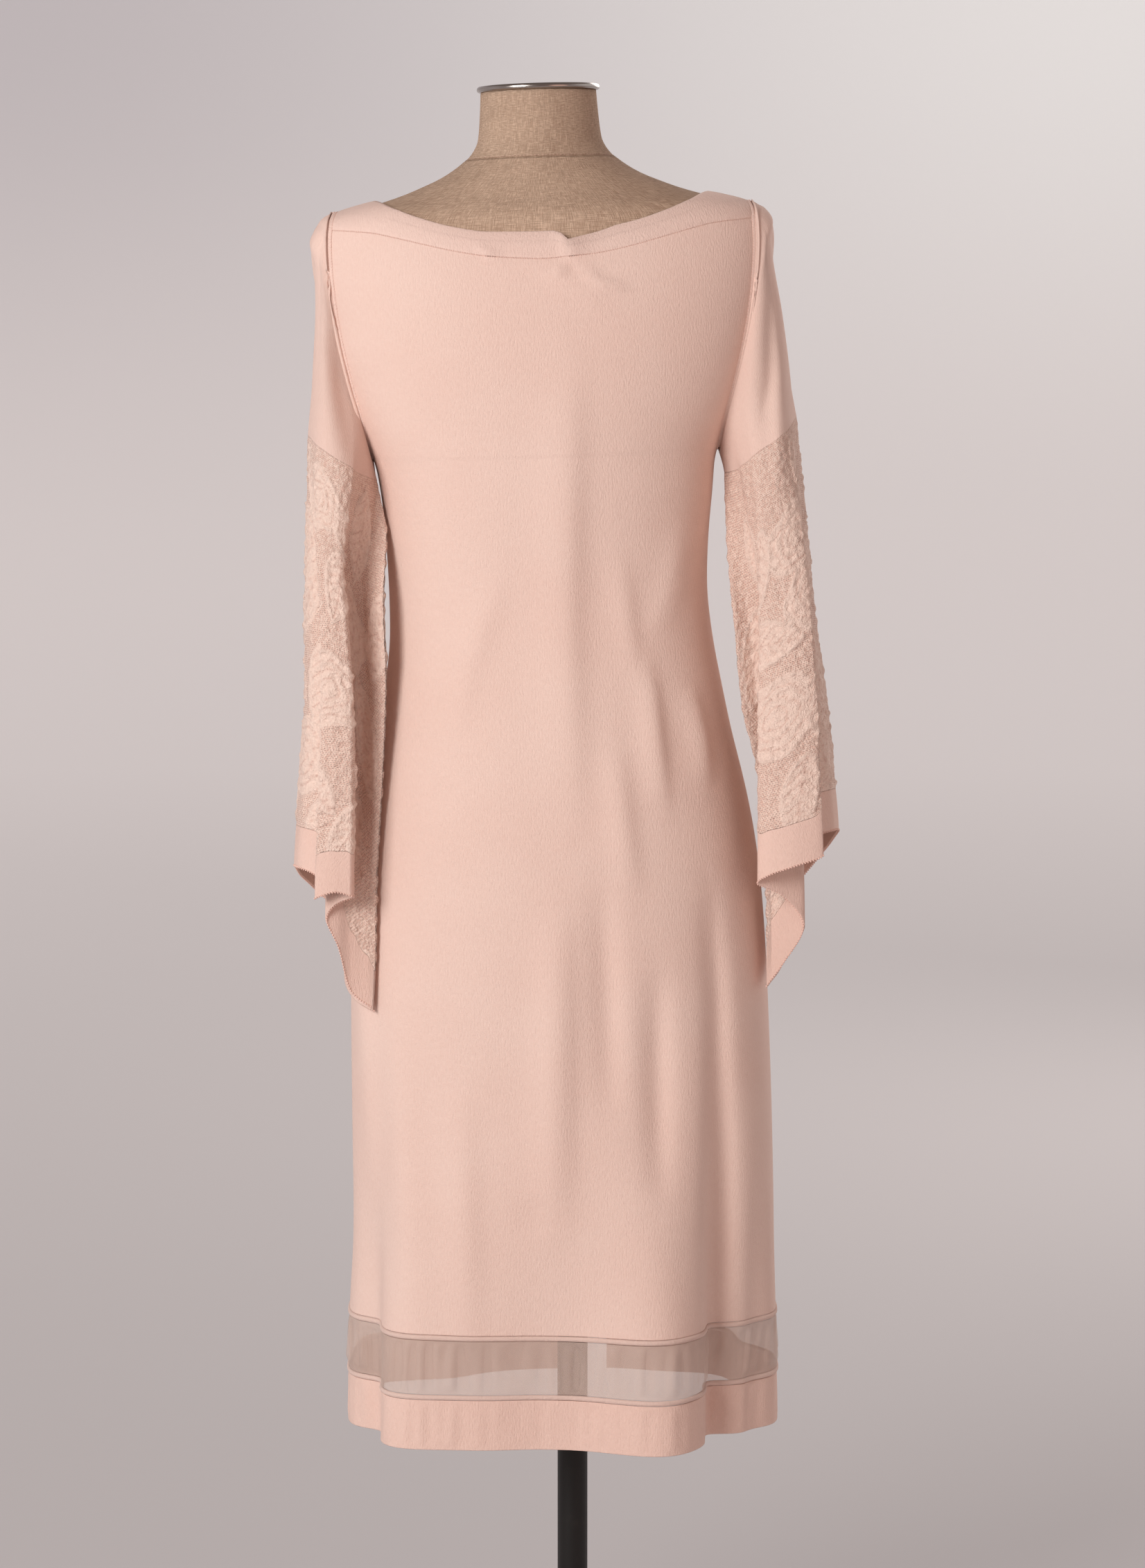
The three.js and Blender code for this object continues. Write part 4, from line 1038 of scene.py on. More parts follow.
def leaf(u, v, at, length, width, turn):
    """A pointed leaf: solid, with a middle vein and slanted side veins."""
    c, s = math.cos(math.radians(turn)), math.sin(math.radians(turn))
    p, q = (u - at[0]) * c + (v - at[1]) * s, (v - at[1]) * c - (u - at[0]) * s
    along = np.clip(p / (length / 2), -1, 1)
    half = width / 2 * (1 - along**2) ** 0.8 * (1 - 0.18 * along)
    past = np.abs(p) - length / 2
    body = soft_inside(np.maximum(np.abs(q) - half, past))
    puff = 0.4 * body + soft_inside(np.abs(np.maximum(np.abs(q) - half, past) + 2.0) - 1.2, 1.6)
    middle = soft_inside(np.abs(q) - 0.5, 0.9) * (np.abs(p) < length * 0.44)
    slanted = ((p - np.abs(q) * 0.9) / 9.0) % 1
    sides = soft_inside(np.abs(slanted - 0.5) * 9.0 - 0.6, 0.9) * (np.abs(q) < half * 0.74)
    return body, np.maximum(middle, sides) * body, puff


def rose(u, v, at, radius, turn):
    """A rose seen from above: scalloped outside, and rings of petals that each start between two others."""
    x, y = u - at[0], v - at[1]
    far, angle = np.hypot(x, y), np.arctan2(y, x) + math.radians(turn)
    outside = radius * (0.88 + 0.12 * np.abs(np.cos(2.5 * angle)))
    body = soft_inside(far - outside)
    puff = 0.4 * body + soft_inside(np.abs(far - outside + 2.0) - 1.2, 1.6)
    veins = np.zeros_like(body)
    for ring_share, petals, shift in ((0.74, 5, 0.4), (0.5, 4, 1.1), (0.27, 3, 0.2)):
        reach = radius * ring_share * (0.84 + 0.16 * np.abs(np.cos(petals / 2 * angle + shift)))
        veins = np.maximum(veins, soft_inside(np.abs(far - reach) - 0.5, 0.9))
        puff = np.maximum(puff, 0.4 + 0.5 * soft_inside(np.abs(far - reach + 3.0) - 1.2, 1.6) * body)
    return body, veins * body, puff


# Each motif: kind, place across and down the lace, size or length, width, and turn.
LEFT_MOTIFS = [
    ("leaf", 40, 52, 62, 24, 80), ("leaf", 92, 70, 58, 26, 118), ("rose", 128, 44, 24, 0, 10),
    ("leaf", 176, 50, 84, 28, 84), ("rose", 214, 96, 28, 0, 60), ("leaf", 250, 46, 54, 22, 60),
    ("rose", 66, 134, 30, 0, 30), ("leaf", 118, 118, 60, 24, 70), ("leaf", 164, 146, 66, 28, 104),
    ("leaf", 210, 158, 60, 24, 62), ("leaf", 300, 92, 70, 26, 96), ("rose", 342, 60, 26, 0, 0),
    ("leaf", 28, 204, 66, 26, 110), ("leaf", 96, 206, 62, 26, 62), ("rose", 140, 214, 27, 0, 80),
    ("leaf", 188, 232, 74, 30, 88), ("leaf", 236, 216, 54, 22, 128), ("rose", 282, 176, 30, 0, 20),
    ("leaf", 330, 168, 64, 26, 70), ("rose", 216, 292, 29, 0, 40), ("leaf", 160, 292, 60, 24, 120),
    ("leaf", 104, 286, 66, 26, 82), ("rose", 52, 278, 25, 0, 0), ("leaf", 270, 262, 62, 24, 72),
    ("leaf", 322, 250, 60, 24, 110), ("leaf", 250, 330, 58, 22, 100), ("leaf", 128, 340, 56, 22, 66),
    ("leaf", 64, 340, 52, 22, 100), ("rose", 300, 316, 26, 0, 50), ("leaf", 356, 300, 56, 22, 84),
    ("leaf", 374, 216, 60, 24, 96), ("leaf", 380, 118, 58, 24, 64), ("leaf", 10, 120, 60, 24, 74),
    ("leaf", 190, 356, 52, 22, 84), ("leaf", 20, 380, 50, 20, 60),
]
RIGHT_MOTIFS = [
    ("leaf", 44, 78, 60, 24, 74), ("leaf", 84, 116, 74, 26, 92), ("rose", 126, 92, 25, 0, 20),
    ("leaf", 150, 44, 60, 22, 78), ("leaf", 182, 92, 76, 24, 86), ("rose", 152, 146, 27, 0, 50),
    ("leaf", 208, 150, 72, 26, 96), ("leaf", 232, 62, 62, 24, 108), ("rose", 262, 112, 27, 0, 0),
    ("leaf", 100, 176, 60, 34, 8), ("leaf", 66, 214, 78, 30, 64), ("rose", 118, 246, 30, 0, 70),
    ("leaf", 190, 214, 66, 22, 74), ("leaf", 170, 262, 78, 30, 58), ("leaf", 222, 246, 84, 28, 82),
    ("leaf", 286, 190, 66, 26, 62), ("rose", 326, 150, 29, 0, 30), ("leaf", 334, 70, 62, 24, 84),
    ("leaf", 24, 150, 60, 24, 100), ("leaf", 30, 276, 66, 26, 84), ("leaf", 82, 300, 62, 26, 112),
    ("rose", 204, 312, 28, 0, 10), ("leaf", 148, 322, 58, 24, 92), ("leaf", 262, 306, 62, 24, 70),
    ("rose", 300, 258, 27, 0, 60), ("leaf", 344, 232, 66, 26, 104), ("leaf", 386, 172, 60, 24, 78),
    ("leaf", 384, 90, 54, 22, 96), ("leaf", 330, 320, 58, 24, 90), ("leaf", 380, 290, 56, 22, 70),
    ("leaf", 24, 352, 52, 22, 74), ("leaf", 106, 356, 54, 22, 62), ("rose", 246, 366, 24, 0, 0),
]
MOTIFS = {"left": LEFT_MOTIFS, "right": RIGHT_MOTIFS}
MOTIF_SIZE = 1.3


def motif_masks(flat, motifs):
    """All the motifs on a cloth: how solid it is, where its veins run, and how far it puffs up."""
    u, v = flat[..., 0], flat[..., 1]
    solid, veins, puffed = np.zeros(u.shape), np.zeros(u.shape), np.zeros(u.shape)
    for kind, x, y, size, width, turn in motifs:
        size, width = size * MOTIF_SIZE, width * MOTIF_SIZE
        if kind == "leaf":
            body, lines, puff = leaf(u, v, (x, y), size, width, turn)
        else:
            body, lines, puff = rose(u, v, (x, y), size, turn)
        veins = np.maximum(veins * (1 - body), lines)
        puffed = puffed * (1 - body) + puff * body
        solid = np.maximum(solid, body)
    return solid, veins, puffed


# %% [markdown]
# ## Lace finish
# The ground has slanted rows of small holes. A hole is where two sums are both small: the place across
# its own cell, and the place along it. Alpha opens the holes, so light and the far side of the sleeve show.
# Painted shade darkens the holes, the veins of fine holes, the open ground and a fine scatter of pinholes.

# %% Lace and net finishes
HOLE_ACROSS = 2.3
HOLE_ALONG = 1.9
HOLE_SIZE = 0.24
HOLE_OPEN = 0.35
LIT_LACE = linear(255, 231, 217)
DEEP_LACE = linear(220, 173, 156)
NET_MESH = 1.15
LIT_NET = linear(248, 226, 214)
DEEP_NET = linear(234, 205, 190)


def hole_pattern(across, along, wide, tall, size):
    """1 in a hole and 0 on the yarn, in rows that each stand a little aside of the last."""
    row = (along / tall).whole()
    x = (across / wide + row * 0.37).part() - 0.5
    y = (along / tall).part() - 0.5
    far = (x * x + y * y * 1.7) ** 0.5
    return 1 - far.between(size * 0.7, size * 1.3)


def lace_finish():
    lace = Finish("lace_knit")
    across, along = lace.cloth_place()
    solid = lace.add("ShaderNodeAttribute", output=2, attribute_name="motif")
    vein = lace.add("ShaderNodeAttribute", output=2, attribute_name="vein")
    holes = hole_pattern(across, along, HOLE_ACROSS, HOLE_ALONG, HOLE_SIZE)
    ground = 1 - solid
    open_part = holes * (ground + vein * 0.8).between(0.3, 0.7)
    fuzz = lace.noise(700.0, 2.0, 0.7)
    ridges = stitch_height(across, along, HOLE_ALONG, HOLE_ALONG)
    crumple = lace.noise(210.0, 4.0, 0.65)
    shaded_pinholes = lace.noise(520.0, 2.0, 0.6).between(0.42, 0.62)
    # Painted shade: the holes, the veins, the open ground and the scattered pinholes take the deeper lace
    # colour. The fuzz is random tone.
    tone = ground * 0.1 + fuzz * 0.15 + vein * 0.5 + open_part * 0.1 + shaded_pinholes * (0.12 + ground * 0.3)
    shade = lace.colour(tone, LIT_LACE, DEEP_LACE)
    height = ridges * 0.3 + fuzz * 0.4 - open_part * 0.3 + crumple * 6.5 - shaded_pinholes * 0.6
    normal = lace.bump(height, 0.5 * MM, 1.0)
    cover = 1 - open_part * HOLE_OPEN
    return lace.finish(Base_Color=shade, Roughness=0.85, Normal=normal, Alpha=cover, Sheen_Weight=0.2, **YARN)


def net_finish():
    net = Finish("sheer_net")
    across, along = net.cloth_place()
    one = ((across + along) / NET_MESH).part()
    other = ((across - along) / NET_MESH).part()
    first = (one - 0.5).size().between(0.27, 0.40)
    second = (other - 0.5).size().between(0.27, 0.40)
    thread = first + second - first * second
    fuzz = net.noise(1100.0, 2.0, 0.7)
    shade = net.colour(fuzz, LIT_NET, DEEP_NET)
    normal = net.bump(thread, 0.3 * MM, 0.6)
    cover = 0.14 + thread * 0.46
    return net.finish(
        Base_Color=shade, Roughness=0.45, Normal=normal, Alpha=cover, Sheen_Weight=0.15,
        Specular_IOR_Level=0.5,
    )


lace_knit = lace_finish()
sheer_net = net_finish()

# %% Sleeve pieces
SLEEVE_COLUMNS = 196
LACE_ROWS = 180
UPPER_ROWS = 60
CUFF_ROWS = 16
SEAM_LEVEL = 0.0004
LACE_THICKNESS = 0.8
PUCKER = 1.3
RIPPLE = 0.6
WAVES = 10


def soft_noise(u, v, size, seed, wrap=None):
    """A smooth random height over the cloth, about 1 high, from a few slow waves."""
    draw = np.random.default_rng(seed)
    height = np.zeros(u.shape)
    for _ in range(WAVES):
        turn, phase = draw.uniform(0, 2 * np.pi), draw.uniform(0, 2 * np.pi)
        rate = 2 * np.pi / (size * draw.uniform(0.7, 1.6))
        across = rate * math.cos(turn)
        if wrap:
            across = round(across * wrap / (2 * np.pi)) * 2 * np.pi / wrap
        height += np.sin(u * across + v * rate * math.sin(turn) + phase)
    return height / 3.2


def sleeve_pieces(name):
    """The three cloths of one sleeve, with the motifs on its lace."""
    shape = sleeve_shapes[name]
    shares = np.arange(SLEEVE_COLUMNS) / SLEEVE_COLUMNS
    stretches = {
        "upper": (0.0, 1 - SEAM_LEVEL, UPPER_ROWS, KNIT_THICKNESS, pink_knit),
        "lace": (1 + SEAM_LEVEL, 2 - SEAM_LEVEL, LACE_ROWS, LACE_THICKNESS, lace_knit),
        "cuff": (2 + 4 * SEAM_LEVEL, 3, CUFF_ROWS, KNIT_THICKNESS, hem_knit),
    }
    made = {}
    for part, (start, end, rows, thickness, finish) in stretches.items():
        levels = np.linspace(start, end, rows)
        if part == "upper":
            levels = np.linspace(start**0.5, end**0.5, rows) ** 2
        levels = with_ends(levels, (end - start) * 0.4 / rows)
        outer = shape.point(shares[None], levels[:, None])
        middle = outer.mean(axis=1, keepdims=True)
        raised, values = None, None
        if part == "lace":
            whole = cloth_map(outer, True)
            flat = whole[:, :-1]
            width, length = whole[0, -1, 0], flat[..., 1].max()
            solid, vein, puff = motif_masks(flat, MOTIFS[name])
            ripple = soft_noise(flat[..., 0], flat[..., 1], 11, 5, width)
            inner = window(flat[..., 1], 0, 6, length, 6)
            raised = inner * (PUCKER * puff * (1 - 0.3 * vein) + RIPPLE * ripple * (0.8 + 0.2 * solid))
            values = {"motif": solid, "vein": vein}
            print(name, "lace is", round(width), "mm round and", round(length), "mm long")
        made[part] = wall(f"sleeve_{name}_{part}_cloth", outer, thickness, finish, middle,
                          closed=True, raised=raised, values=values)
    return made


sleeves = {name: sleeve_pieces(name) for name in SLEEVES}

# %% [markdown]
# ## Skirt bands
# Below the body come a rolled seam, a sheer net inset, a second rolled seam and the hem band. The front
# has a small vent, so the inset and the hem are each in three parts. The net is fine enough to see
# through, and it keeps small upright wrinkles between its two firm seams.

# %% Skirt bands
NET_THICKNESS = 0.5
VENT_RIGHT = 262.2
VENT_LEFT_TOP = 264.6
VENT_LEFT_HEM = 269.1


def vent_left(z):
    share = (z - HEM_Z) / (UPPER_PIPING_Z - HEM_Z)
    return VENT_LEFT_HEM + (VENT_LEFT_TOP - VENT_LEFT_HEM) * share


def upright(degrees):
    """An edge at the same angle at every height."""
    return lambda z: degrees + 0 * z


# Where each part of a band starts and ends round the body, and its columns.
SKIRT_STRETCHES = {
    "back": (upright(0.02), upright(179.98), 240),
    "front_right": (upright(180.02), upright(VENT_RIGHT), 110),
    "front_left": (vent_left, upright(359.98), 120),
}


# Each kind of band: its lower and upper edge, rows, thickness, finish and how far its wrinkles stand out.
SKIRT_BANDS = {
    "net": (LOWER_PIPING_Z + PIPING_REACH, UPPER_PIPING_Z - PIPING_REACH, 22, NET_THICKNESS, sheer_net, 1.8),
    "hem": (HEM_Z, LOWER_PIPING_Z - PIPING_REACH, 18, KNIT_THICKNESS, hem_knit, 0.5),
}


def skirt_band(kind, stretch):
    start, end, columns = SKIRT_STRETCHES[stretch]
    low, high, rows, thickness, finish, wrinkle = SKIRT_BANDS[kind]
    share = with_ends(np.linspace(0, 1, columns), 0.003)[None]
    z = with_ends(np.linspace(low, high, rows), 0.8)[:, None]
    degrees = start(z) + share * (end(z) - start(z))
    outer = ring(degrees, z)
    flat = cloth_map(outer, False)
    waves = soft_noise(flat[..., 0], flat[..., 1] * 0.12, 15, 8)
    raised = wrinkle * waves * window(z, low, 9, high, 9)
    return wall(f"{kind}_{stretch}", outer, thickness, finish, dress_axis(z + 0 * share), raised=raised)


nets = {}
hems = {}
for stretch in SKIRT_STRETCHES:
    nets[stretch] = skirt_band("net", stretch)
    hems[stretch] = skirt_band("hem", stretch)

# %% Rolled seams
PIPING_WIDE = 2.3
PIPING_HIGH = 1.9
PIPING_SINK = 0.4


def rolled_seam(name, z, start, end, steps, closed):
    degrees = np.linspace(start, end, steps, endpoint=not closed)
    normals = ring_normal(degrees, z)
    path = ring(degrees, z) - normals * PIPING_SINK
    return swept(name, path, normals, PIPING_WIDE, PIPING_HIGH, band_knit, 10, closed)


upper_roll = rolled_seam("rolled_seam_upper", UPPER_PIPING_Z, 0, 360, 720, True)
lower_roll = rolled_seam(
    "rolled_seam_lower", LOWER_PIPING_Z, vent_left(LOWER_PIPING_Z) - 360, VENT_RIGHT, 700, False
)

# %% [markdown]
# ## Armhole ridges
# Where a sleeve is sewn in, the turned-in edges of the cloth make a narrow ridge beside the seam.
# It is a flat roll along the armhole, and its stitches come with the other stitches below.

# %% Armhole ridges
RIDGE_WIDE = 2.3
RIDGE_HIGH = 0.7
RIDGE_STEPS = 260
SIDE_DEPTH = 25
OVER_SHOULDER_Z = 1366
UP = np.array([0, 0, 1.0])


def armhole_ridge(name):
    """The ridge of one armhole, with the line it follows and the way its cloth faces along it."""
    side = SLEEVES[name]["side"]
    path = armhole_point(side, np.arange(RIDGE_STEPS) / RIDGE_STEPS)
    depth = np.clip(path[:, 1] / SIDE_DEPTH, -1, 1)
    depth = np.sign(depth) * smooth(np.abs(depth))
    out = unit(np.stack([side * (1 - 0.6 * np.abs(depth)), depth, 0 * depth], axis=-1))
    over_shoulder = smooth((path[:, 2] - OVER_SHOULDER_Z) / 18)[:, None]
    normals = unit(out * (1 - over_shoulder) + UP * over_shoulder)
    path = path + normals * SLEEVES[name]["ridge_rise"]
    ridge = swept(f"armhole_ridge_{name}", path, normals, RIDGE_WIDE, RIDGE_HIGH, band_knit, 8, True)
    return ridge, path, normals


ridges = {name: armhole_ridge(name) for name in SLEEVES}

# %% [markdown]
# ## Stitches and picots with Geometry Nodes
# Stitches repeat along a line, so a node tree places them: it takes a line of edges, resamples it at the
# stitch spacing, puts one small bead of thread on each point and turns it the way the line's own
# attribute says. Realize Instances makes the result a plain mesh, which then replaces the line.

# %% Stitch tree
def stitch_tree(thread):
    """The node tree that sews, and the identifiers of its three sizes."""
    tree = bpy.data.node_groups.new("thread_stitches", "GeometryNodeTree")
    face = tree.interface
    face.new_socket("Geometry", in_out="INPUT", socket_type="NodeSocketGeometry")
    sizes = {}
    for label, value in (("Spacing", 2.0), ("Length", 1.6), ("Width", 0.5)):
        socket = face.new_socket(label, in_out="INPUT", socket_type="NodeSocketFloat")
        socket.default_value = value * MM
        sizes[label] = socket.identifier
    face.new_socket("Geometry", in_out="OUTPUT", socket_type="NodeSocketGeometry")

    def add(kind, **settings):
        node = tree.nodes.new(kind)
        for label, value in settings.items():
            setattr(node, label, value)
        return node

    start, end = add("NodeGroupInput"), add("NodeGroupOutput")
    line = add("GeometryNodeMeshToCurve")
    spaced = add("GeometryNodeResampleCurve", mode="LENGTH")
    bead = add("GeometryNodeMeshUVSphere")
    bead.inputs["Segments"].default_value = 6
    bead.inputs["Rings"].default_value = 4
    bead.inputs["Radius"].default_value = 0.5
    size = add("ShaderNodeCombineXYZ")
    way = add("GeometryNodeInputNamedAttribute", data_type="FLOAT_VECTOR")
    way.inputs["Name"].default_value = "lay"
    turn = add("FunctionNodeAlignRotationToVector", axis="X")
    place = add("GeometryNodeInstanceOnPoints")
    plain = add("GeometryNodeRealizeInstances")
    soft = add("GeometryNodeSetShadeSmooth")
    coat = add("GeometryNodeSetMaterial")
    coat.inputs["Material"].default_value = thread
    links = [
        (start, "Geometry", line, 0), (line, 0, spaced, "Curve"), (start, "Spacing", spaced, "Length"),
        (start, "Length", size, 0), (start, "Width", size, 1), (start, "Width", size, 2),
        (way, "Attribute", turn, "Vector"), (spaced, "Curve", place, "Points"),
        (bead, "Mesh", place, "Instance"), (turn, "Rotation", place, "Rotation"),
        (size, 0, place, "Scale"), (place, "Instances", plain, "Geometry"),
        (plain, "Geometry", soft, "Geometry"), (soft, "Geometry", coat, "Geometry"),
        (coat, "Geometry", end, 0),
    ]
    for source, output, target, entry in links:
        tree.links.new(source.outputs[output], target.inputs[entry])
    return tree, sizes


LIT_THREAD = linear(244, 212, 200)
DEEP_THREAD = linear(226, 182, 166)


def thread_finish():
    thread = Finish("pink_thread")
    twist = thread.noise(1500.0, 1.0)
    shade = thread.colour(twist, LIT_THREAD, DEEP_THREAD)
    return thread.finish(Base_Color=shade, Roughness=0.7, Normal=thread.bump(twist, 0.1 * MM, 0.6))


pink_thread = thread_finish()
stitches, stitch_sizes = stitch_tree(pink_thread)


def sew(name, lines, spacing, length, width):
    """Stitches along lines; a line is its points, the way each stitch lies, and whether it is closed."""
    places, lays, edges = [], [], []
    for path, lay, closed in lines:
        start, count = len(places), len(path)
        places += (path * MM).tolist()
        lays += lay.tolist()
        edges += [(start + k, start + k + 1) for k in range(count - 1)]
        if closed:
            edges.append((start + count - 1, start))
    mesh = bpy.data.meshes.new(name + "_line")
    mesh.from_pydata(places, edges, [])
    attribute = mesh.attributes.new("lay", "FLOAT_VECTOR", "POINT")
    attribute.data.foreach_set("vector", np.asarray(lays, np.float32).ravel())
    line = in_scene(name + "_line", mesh)
    modifier = line.modifiers.new("stitches", "NODES")
    modifier.node_group = stitches
    for label, value in (("Spacing", spacing), ("Length", length), ("Width", width)):
        modifier[stitch_sizes[label]] = value * MM
    ready = line.evaluated_get(bpy.context.evaluated_depsgraph_get())
    made = bpy.data.meshes.new_from_object(ready)
    made.name = name
    piece = in_scene(name, made)
    bpy.data.objects.remove(line)
    print(name, "faces:", len(made.polygons))
    return piece


def heading(path, closed):
    """The way a line runs at each of its points."""
    if closed:
        return unit(np.roll(path, -1, axis=0) - np.roll(path, 1, axis=0))
    return unit(np.gradient(path, axis=0))


# %% Armhole and band stitches
RIDGE_STITCH_RISE = 0.65
BAND_STITCH_RISE = 0.15
armhole_lines = []
for name, (ridge, path, normals) in ridges.items():
    ahead = heading(path, True)
    across = unit(np.cross(ahead, normals))
    for offset in (-0.6, 0.6):
        stitch_path = path + across * offset * RIDGE_WIDE + normals * RIDGE_STITCH_RISE
        armhole_lines.append((stitch_path, unit(ahead + across * 0.7 * np.sign(offset)), True))
armhole_stitches = sew("armhole_stitches", armhole_lines, 2.4, 1.9, 0.5)


def band_seam_line(face):
    columns = np.linspace(-0.985, 0.985, 400)
    z = height_on(face, columns, NECKS[face][0])
    path = body_point(face, columns, z)
    normals = path - np.stack([dress_middle(z), 0 * z, path[:, 2]], axis=-1)
    return path + unit(normals) * BAND_STITCH_RISE


seam_lines = []
for face in (BACK, FRONT):
    path = band_seam_line(face)
    seam_lines.append((path, unit(heading(path, False) * 0.25 + UP), False))
band_stitches = sew("band_stitches", seam_lines, 2.0, 1.5, 0.5)

# %% Picot edges of the cuffs
PICOT_STEPS = 700
picot_lines = []
for name, shape in sleeve_shapes.items():
    share = np.arange(PICOT_STEPS) / PICOT_STEPS
    path = shape.point(share, 3.0)
    inward = path - shape.point(share, 2.95)
    picot_lines.append((path + unit(inward) * 0.1, unit(inward), True))
picot_edges = sew("picot_edges", picot_lines, 2.5, 2.2, 1.5)

# %% [markdown]
# ## The linen form
# The form under the dress is a smooth torso without limbs, covered in natural linen. Linen is a plain
# weave of uneven threads: two sets of soft bars cross, and some threads are thicker than others. A little
# painted shade darkens the gaps between the threads.

# %% Linen finish
NECK_SEAM_Z = 1430
WARP = 1.15
WEFT = 1.05
DEEP_LINEN = linear(158, 129, 108)
LIT_LINEN = linear(228, 200, 176)


def linen_finish():
    linen = Finish("linen_cover")
    across, along = linen.cloth_place()
    slub = linen.noise(60.0, 3.0, 0.6)
    wander = slub * 0.35
    warp = ((across / WARP + wander).part() * 2 - 1).size()
    weft = ((along / WEFT + wander).part() * 2 - 1).size()
    weave = (1 - warp) * 0.5 + (1 - weft) * 0.5
    patch = linen.noise(7.0, 4.0, 0.6)
    lying = linen.add("ShaderNodeCombineXYZ", {0: across * 0.09, 1: along * 1.1, 2: 0.0})
    standing = linen.add("ShaderNodeCombineXYZ", {0: across * 1.1, 1: along * 0.09, 2: 5.0})
    threads = linen.noise(1.0, 2.0, 0.6, lying) + linen.noise(1.0, 2.0, 0.6, standing)
    uneven = threads.between(0.75, 1.25)
    place = linen.add("ShaderNodeTexCoord", output="Object")
    x, height = [linen.add("ShaderNodeSeparateXYZ", {0: place}, output=k) for k in (0, 2)]
    neck_seam = 1 - ((height + x * LEAN_SLOPE) * 1000 - NECK_SEAM_Z).size().between(0.3, 1.8)
    # Painted shade: the gaps between the threads are darker than the tops of the threads. The rest of the
    # tone is thread thickness, random patches and the dark neck seam.
    tone = weave * 0.25 + uneven * 0.5 + patch.between(0.35, 0.7) * 0.25 - neck_seam * 0.3
    shade = linen.colour(tone, DEEP_LINEN, LIT_LINEN)
    normal = linen.bump(weave * 0.6 + uneven * 0.9 - neck_seam * 3.0, 0.4 * MM, 0.9)
    return linen.finish(Base_Color=shade, Roughness=0.92, Normal=normal, Specular_IOR_Level=0.2)


linen_cover = linen_finish()

# %% Form torso
LEAN_START_X = 6
LEAN_START_Z = 700
FORM_POWER = 2.25
# Each row: height, half width, depth behind and depth in front.
FORM_ROWS = [
    (708, 140, 84, 66), (716, 153, 96, 75), (740, 161, 106, 83), (780, 167, 113, 89),
    (835, 165, 114, 92), (884, 157, 108, 93), (934, 145, 98, 90), (982, 131, 87, 87),
    (1010, 124, 82, 86), (1045, 119, 79, 88), (1080, 123, 81, 97), (1120, 133, 88, 115),
    (1160, 140, 93, 126), (1187, 143, 96, 124), (1213, 148, 98, 118), (1235, 155, 99, 110),
    (1256, 163, 99, 104), (1282, 174, 98, 97), (1305, 184, 96, 90), (1323, 190.5, 93.5, 85.5),
    (1340, 195.4, 90.4, 81.4), (1355, 197.2, 86.4, 76.4), (1366.4, 196.2, 82.6, 72.6),
    (1372.6, 193.2, 80.4, 71), (1377.6, 188.6, 78.4, 69.4), (1385.2, 174, 75.2, 66.6),
    (1393.3, 143.5, 72, 64), (1400.4, 120, 70, 62.6), (1407, 103, 68, 61.5), (1413, 89, 66, 60.5),
    (1419.5, 77.5, 64.5, 59.8), (1428, 66, 61.5, 58.5), (1436, 58, 57.5, 57), (1446, 53.5, 54, 55),
    (1470, 51, 51.5, 52.5), (1486, 50, 50.5, 51.5),
]
form_half, form_back, form_front = curves(FORM_ROWS)


def form_middle(z):
    return LEAN_START_X + LEAN_SLOPE * (z - LEAN_START_Z)


def form_point(turn, z):
    """A point of the form, whose rounded squares turn into circles at the neck."""
    c, s = np.cos(turn), np.sin(turn)
    share = 2 / (FORM_POWER + (2 - FORM_POWER) * smooth((z - 1405) / 25))
    across = form_half(z) * signed_power(c, share)
    depth = np.where(s >= 0, form_back(z), form_front(z))
    groove = 1 - 0.012 * np.exp(-(((z - NECK_SEAM_Z) / 1.3) ** 2))
    y = depth * signed_power(s, share) * groove
    return np.stack([form_middle(z) + across * groove, y, z - across * LEAN_SLOPE], axis=-1)


def closed_rings(name, rings, finish):
    """A closed skin over rings of points, with a fan at each end."""
    rows, columns = rings.shape[:2]
    quads, spots = grid_cells(rows, columns, True, cloth_map(rings, True))
    places = np.concatenate([rings.reshape(-1, 3), rings[0].mean(axis=0)[None], rings[-1].mean(axis=0)[None]])
    faces = quads.tolist()
    low, high = rows * columns, rows * columns + 1
    last = (rows - 1) * columns
    faces += [[low, (k + 1) % columns, k] for k in range(columns)]
    faces += [[high, last + k, last + (k + 1) % columns] for k in range(columns)]
    ends = np.zeros((6 * columns, 2))
    return mesh_piece(name, places, faces, finish, np.concatenate([spots.reshape(-1, 2), ends]))


TORSO_ROWS = 240
TORSO_COLUMNS = 160
torso_z = np.linspace(FORM_ROWS[0][0], FORM_ROWS[-1][0], TORSO_ROWS)[:, None]
torso_turn = once_round(TORSO_COLUMNS)[None]
torso = closed_rings("linen_torso", form_point(torso_turn, torso_z + 0 * torso_turn), linen_cover)

seam_turn = once_round(400)
seam_path = form_point(seam_turn, NECK_SEAM_Z + 0 * seam_turn)
neck_seam = sew("neck_seam_stitches", [(seam_path, heading(seam_path, True), True)], 3.2, 2.4, 0.6)

# %% [markdown]
# ## Turned metal parts
# The neck cap, the pole and the foot are turned parts, so each is a half outline spun round its axis.
# Small rounds at the corners catch a line of light, as turned and rolled metal does.

# %% Metal finishes
LIT_STEEL = linear(188, 182, 178)
DEEP_STEEL = linear(150, 143, 138)
BLACK = linear(22, 19, 18)
WORN_BLACK = linear(38, 34, 32)


def steel_finish():
    steel = Finish("polished_steel")
    spun = steel.noise(240.0, 2.0, 0.5)
    smudge = steel.noise(30.0, 4.0, 0.6)
    shade = steel.colour(smudge, LIT_STEEL, DEEP_STEEL)
    rough = 0.12 + smudge * 0.16
    normal = steel.bump(spun, 0.02 * MM, 0.3)
    return steel.finish(Base_Color=shade, Metallic=1.0, Roughness=rough, Normal=normal)


